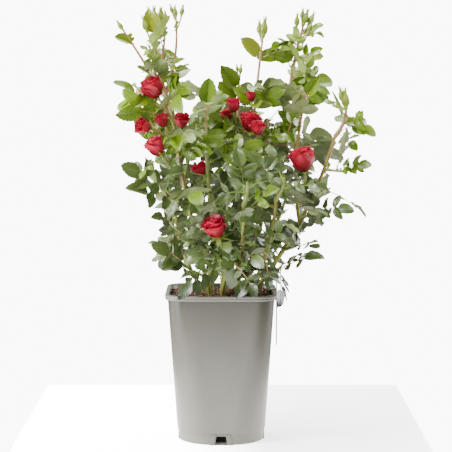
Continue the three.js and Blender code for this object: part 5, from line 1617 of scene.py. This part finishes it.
def shape_petal(blade, axes, foot, bloom, rank, turn, chance):
    """One petal of a bloom. rank is 0 for the innermost and 1 for the outermost."""
    x, along = blade.across, blade.along
    width, opening = bloom
    length = width * mix(mix(1.05, 0.72, opening), mix(1.2, 0.92, opening), rank) * chance.about(1, 0.11)
    outline = np.minimum(1, 0.22 + 1.5 * along ** 0.9)
    half = length * mix(0.3, 0.44, rank) * chance.about(1, 0.1)
    ruffle, phase = chance.about(0.085, 0.04), chance.draw() * ANY_TURN
    dip = 0.2 * x ** 2 + 0.16 * x ** 6 + 0.05 * np.sin(6 * x + phase) - 0.05 * np.exp(-(4 * x) ** 2)
    spread = opening + chance.about(0.05, 0.25)
    reach, rise = petal_line(rank, spread, 0.53 * width, length, along * (1 - dip))
    reach = np.maximum(0.4, reach + ruffle * width * along ** 3 * np.sin(5 * x + phase))
    reach += width * 0.03 * x * along + 0.22 * (1 + blade.below)
    angle = turn + x * np.minimum(1.9, half * outline / np.maximum(reach, width * mix(0.1, 0.3, rank)))
    side, third, ahead = axes
    out = np.array(foot) + np.outer(reach * np.cos(angle), side) + np.outer(reach * np.sin(angle), third)
    return out + np.outer(rise, ahead)


def axes_on(heading):
    """Two axes across a heading, and the heading itself."""
    side = heading.orthogonal().normalized()
    return np.array(side), np.array(heading.cross(side)), np.array(heading)


class Blossom:
    """The blooms and buds: their petals, and the green that holds them."""

    def __init__(self, chance):
        self.chance = chance
        self.petals, self.greens = Growth("rose_petals"), Growth("buds_and_sepals")
        self.petal = Blade(9, 8, pointed=False)
        self.sepal = Blade(6, 2)

    def add_hip(self, foot, axes, size):
        """The green urn under a bloom or bud."""
        line = [Vector(np.array(foot) + axes[2] * size * along) for along, _ in HIP_PROFILE]
        self.greens.add(*tube(line, [size * thick for _, thick in HIP_PROFILE], SIDES["hip"]), URN)

    def add_sepals(self, foot, axes, length, opening, spread=0):
        """Five pointed sepals. They hug what they hold, or bend back from it."""
        side, third, ahead = (Vector(axis) for axis in axes)
        along = self.sepal.along
        width = 0.17 * length * np.power(np.clip(1 - along, 0, 1), 0.9) * np.minimum(1, along * 6 + 0.5)
        start = self.chance.draw() * ANY_TURN
        for i in range(5):
            angle = start + i * 2 * math.pi / 5 + self.chance.about(0, 0.15)
            out = side * math.cos(angle) + third * math.sin(angle)
            lean = opening * self.chance.about(1, 0.15)
            bulge = spread * np.sin(np.clip(along * 1.5, 0, 1) * math.pi) * (1 if lean < 1 else 0)
            away = bulge + length * along * math.sin(lean) * (along if lean < 1 else 1)
            up = length * along * math.cos(lean)
            placed = np.array(foot) + np.outer(self.sepal.across * width, out.cross(ahead))
            placed = placed + np.outer(away - 0.3 * self.sepal.below, out) + np.outer(up, ahead)
            self.greens.add_blade(self.sepal, placed, SEPAL)

    def add_bloom(self, stem):
        """Petals that wind out from the middle, the hip under them and the sepals that bend back."""
        width, cup = stem.row["bloom"], stem.row["cup"]
        axes, foot = axes_on(stem.heading(1)), stem.tip
        count = FEWEST_PETALS + int(width * PETALS_FOR_WIDTH)
        start = self.chance.draw() * ANY_TURN
        for i in range(count):
            rank, turn = i / (count - 1), start + i * TURN_TO_NEXT
            placed = shape_petal(self.petal, axes, foot, (width, cup), rank, turn, self.chance)
            self.petals.add_blade(self.petal, placed)
        self.add_hip(foot, axes, max(SMALLEST_HIP, width * 0.085))
        self.add_sepals(foot, axes, width * 0.62, mix(1.1, 2.0, cup))

    def add_bud(self, foot, heading, length, red=False):
        """A pointed bud: its urn, the closed petals and the sepals that hold them, with long tips."""
        axes = axes_on(heading)
        line = [foot + heading * length * along for along, _ in BUD_PROFILE]
        closed = tube(line, [length * thick for _, thick in BUD_PROFILE], SIDES["bud"])
        if red:
            self.petals.add(*closed, PETAL_BACK)
        else:
            self.greens.add(*closed, SEPAL)
        self.add_hip(foot, axes, length * 0.12)
        self.add_sepals(foot, axes, length * (0.85 if red else 1.05), 0.12, length * 0.165)

    def add_side_buds(self, stem):
        """Buds on stalks of their own that leave the shoot under its tip and bend up beside it."""
        for along, around, reach, size in SIDE_BUDS[:stem.row["side_buds"]]:
            foot, ahead = stem.at(along), stem.heading(along)
            bend = foot + direction_of(ahead, around, 0.6) * 0.4 * reach
            end = bend + direction_of(ahead, around, 0.2) * 0.6 * reach
            line = [foot, foot * 0.25 + bend * 0.6 + end * 0.15, bend * 0.5 + end * 0.5, end]
            self.greens.add(*tube(line, SIDE_BUD_STALK, SIDES["bud_stalk"]), BUD_STALK)
            self.add_bud(end, (end - bend).normalized(), size * (stem.row["bud"] / FULL_BUD))

    def make_pieces(self):
        """The petals stand for the masses of blooms."""
        flowering = sorted({row["mass"] for row in SHOOTS if "bloom" in row["mass"]})
        hand_in(self.petals.piece([
            # Each petal's tone, then the paler tone of its rim's painted highlight
            petal_material("petal_face", (0.29, 0.001, 0.013, 1), (0.75, 0.02, 0.07, 1), 0.5, 0),
            petal_material("petal_back", (0.23, 0.002, 0.018, 1), (0.68, 0.05, 0.11, 1), 0.45, 0.03),
        ]), flowering)
        hand_in(self.greens.piece([
            plain_material("green_urns", (0.19, 0.3, 0.02, 1), 0.45, 140.0, 0.1),
            plain_material("green_sepals", (0.2, 0.26, 0.025, 1), 0.5, 140.0, 0.15),
            plain_material("bud_stalks", (0.4, 0.23, 0.11, 1), 0.45, 90.0, 0.1),
        ]))


def make_blooms(stems, chance):
    """A bloom or a bud at the tip of each stem whose row has one."""
    blossom = Blossom(chance)
    for stem in stems.values():
        if "bloom" in stem.row:
            blossom.add_bloom(stem)
        if "bud" in stem.row:
            blossom.add_bud(stem.tip, stem.heading(1), BUD_SCALE * stem.row["bud"], "red" in stem.row)
            blossom.add_side_buds(stem)
    blossom.make_pieces()


# The studio


def make_floor():
    """A pale table top that glows a little to throw light up, with painted light for the camera that is
    brightest at the left and falls off to the right.
    """
    bpy.ops.mesh.primitive_plane_add(size=1)
    floor = chosen("floor")
    for vertex in floor.data.vertices:
        vertex.co.x = math.copysign(TABLE_HALF, vertex.co.x)
        vertex.co.y = TABLE_NEAR if vertex.co.y < 0 else TABLE_FAR
    made, tree, shader = new_material("pale_floor", 0.7)
    patches = mottled(tree, 2.0, (0.9, 0.9, 0.9, 1), (0.93, 0.93, 0.93, 1))
    tree.links.new(patches.outputs["Color"], shader.inputs["Base Color"])
    shader.inputs["Emission Color"].default_value = (1, 1, 1, 1)
    # Painted light and shade: the camera's glow falls from the left side to the right
    across = axis_of(tree, object_place(tree), "X")
    side = maths(tree, "ADD", maths(tree, "MULTIPLY", across, 7.0), 0.5, clamp=True)
    lit = maths(tree, "ADD", maths(tree, "MULTIPLY", side, FLOOR_GLOW[1] - FLOOR_GLOW[0]), FLOOR_GLOW[0])
    seen = node(tree, "ShaderNodeLightPath").outputs["Is Camera Ray"]
    glow = maths(tree, "MAXIMUM", maths(tree, "MULTIPLY", seen, lit), FLOOR_BOUNCE)
    tree.links.new(glow, shader.inputs["Emission Strength"])
    floor.data.materials.append(made)


def make_world():
    """White all round: a soft light, a fainter gloss and a backdrop that the camera sees as white."""
    world = bpy.data.worlds.new("studio")
    bpy.context.scene.world = world
    world.use_nodes = True
    tree = world.node_tree
    background = tree.nodes["Background"]
    background.inputs["Color"].default_value = (1, 1, 1, 1)
    rays = node(tree, "ShaderNodeLightPath").outputs
    seen = maths(tree, "MULTIPLY", rays["Is Camera Ray"], WORLD_SEEN)
    gloss = maths(tree, "MULTIPLY", rays["Is Glossy Ray"], WORLD_GLOSS - WORLD_LIGHT)
    strength = maths(tree, "MAXIMUM", seen, maths(tree, "ADD", gloss, WORLD_LIGHT))
    tree.links.new(strength, background.inputs["Strength"])


def soft_light(name, place, aim, size, power):
    bpy.ops.object.light_add(type="AREA", location=place)
    lamp = bpy.context.object
    lamp.name = name
    lamp.data.shape = "RECTANGLE"
    lamp.data.size, lamp.data.size_y = size
    lamp.data.energy = power
    lamp.rotation_euler = (Vector(aim) - Vector(place)).to_track_quat("-Z", "Y").to_euler()


def hang_lights():
    for name, row in LIGHTS.items():
        soft_light(name, *row)


def make_camera():
    bpy.ops.object.camera_add(location=CAMERA_PLACE, rotation=(math.pi / 2 - CAMERA_DIP, 0, 0))
    camera = bpy.context.object
    camera.name = "camera"
    camera.data.sensor_width = SENSOR
    camera.data.lens = SENSOR * FOCAL_PIXELS / PICTURE_PIXELS
    bpy.context.scene.camera = camera


deselect()
MOTTLE = mottle_group()
VEINS = vein_group()
make_floor()
make_world()
hang_lights()
make_camera()
BUSH = grow_bush()
make_pot()
make_soil(Chance(3))
make_litter(Chance(4))
make_label()
make_canes(BUSH)
make_short_stem()
make_prickles(BUSH, Chance(6))
make_stems(BUSH, Chance(7))
make_leaves(BUSH, Chance(8))
make_blooms(BUSH, Chance(9))
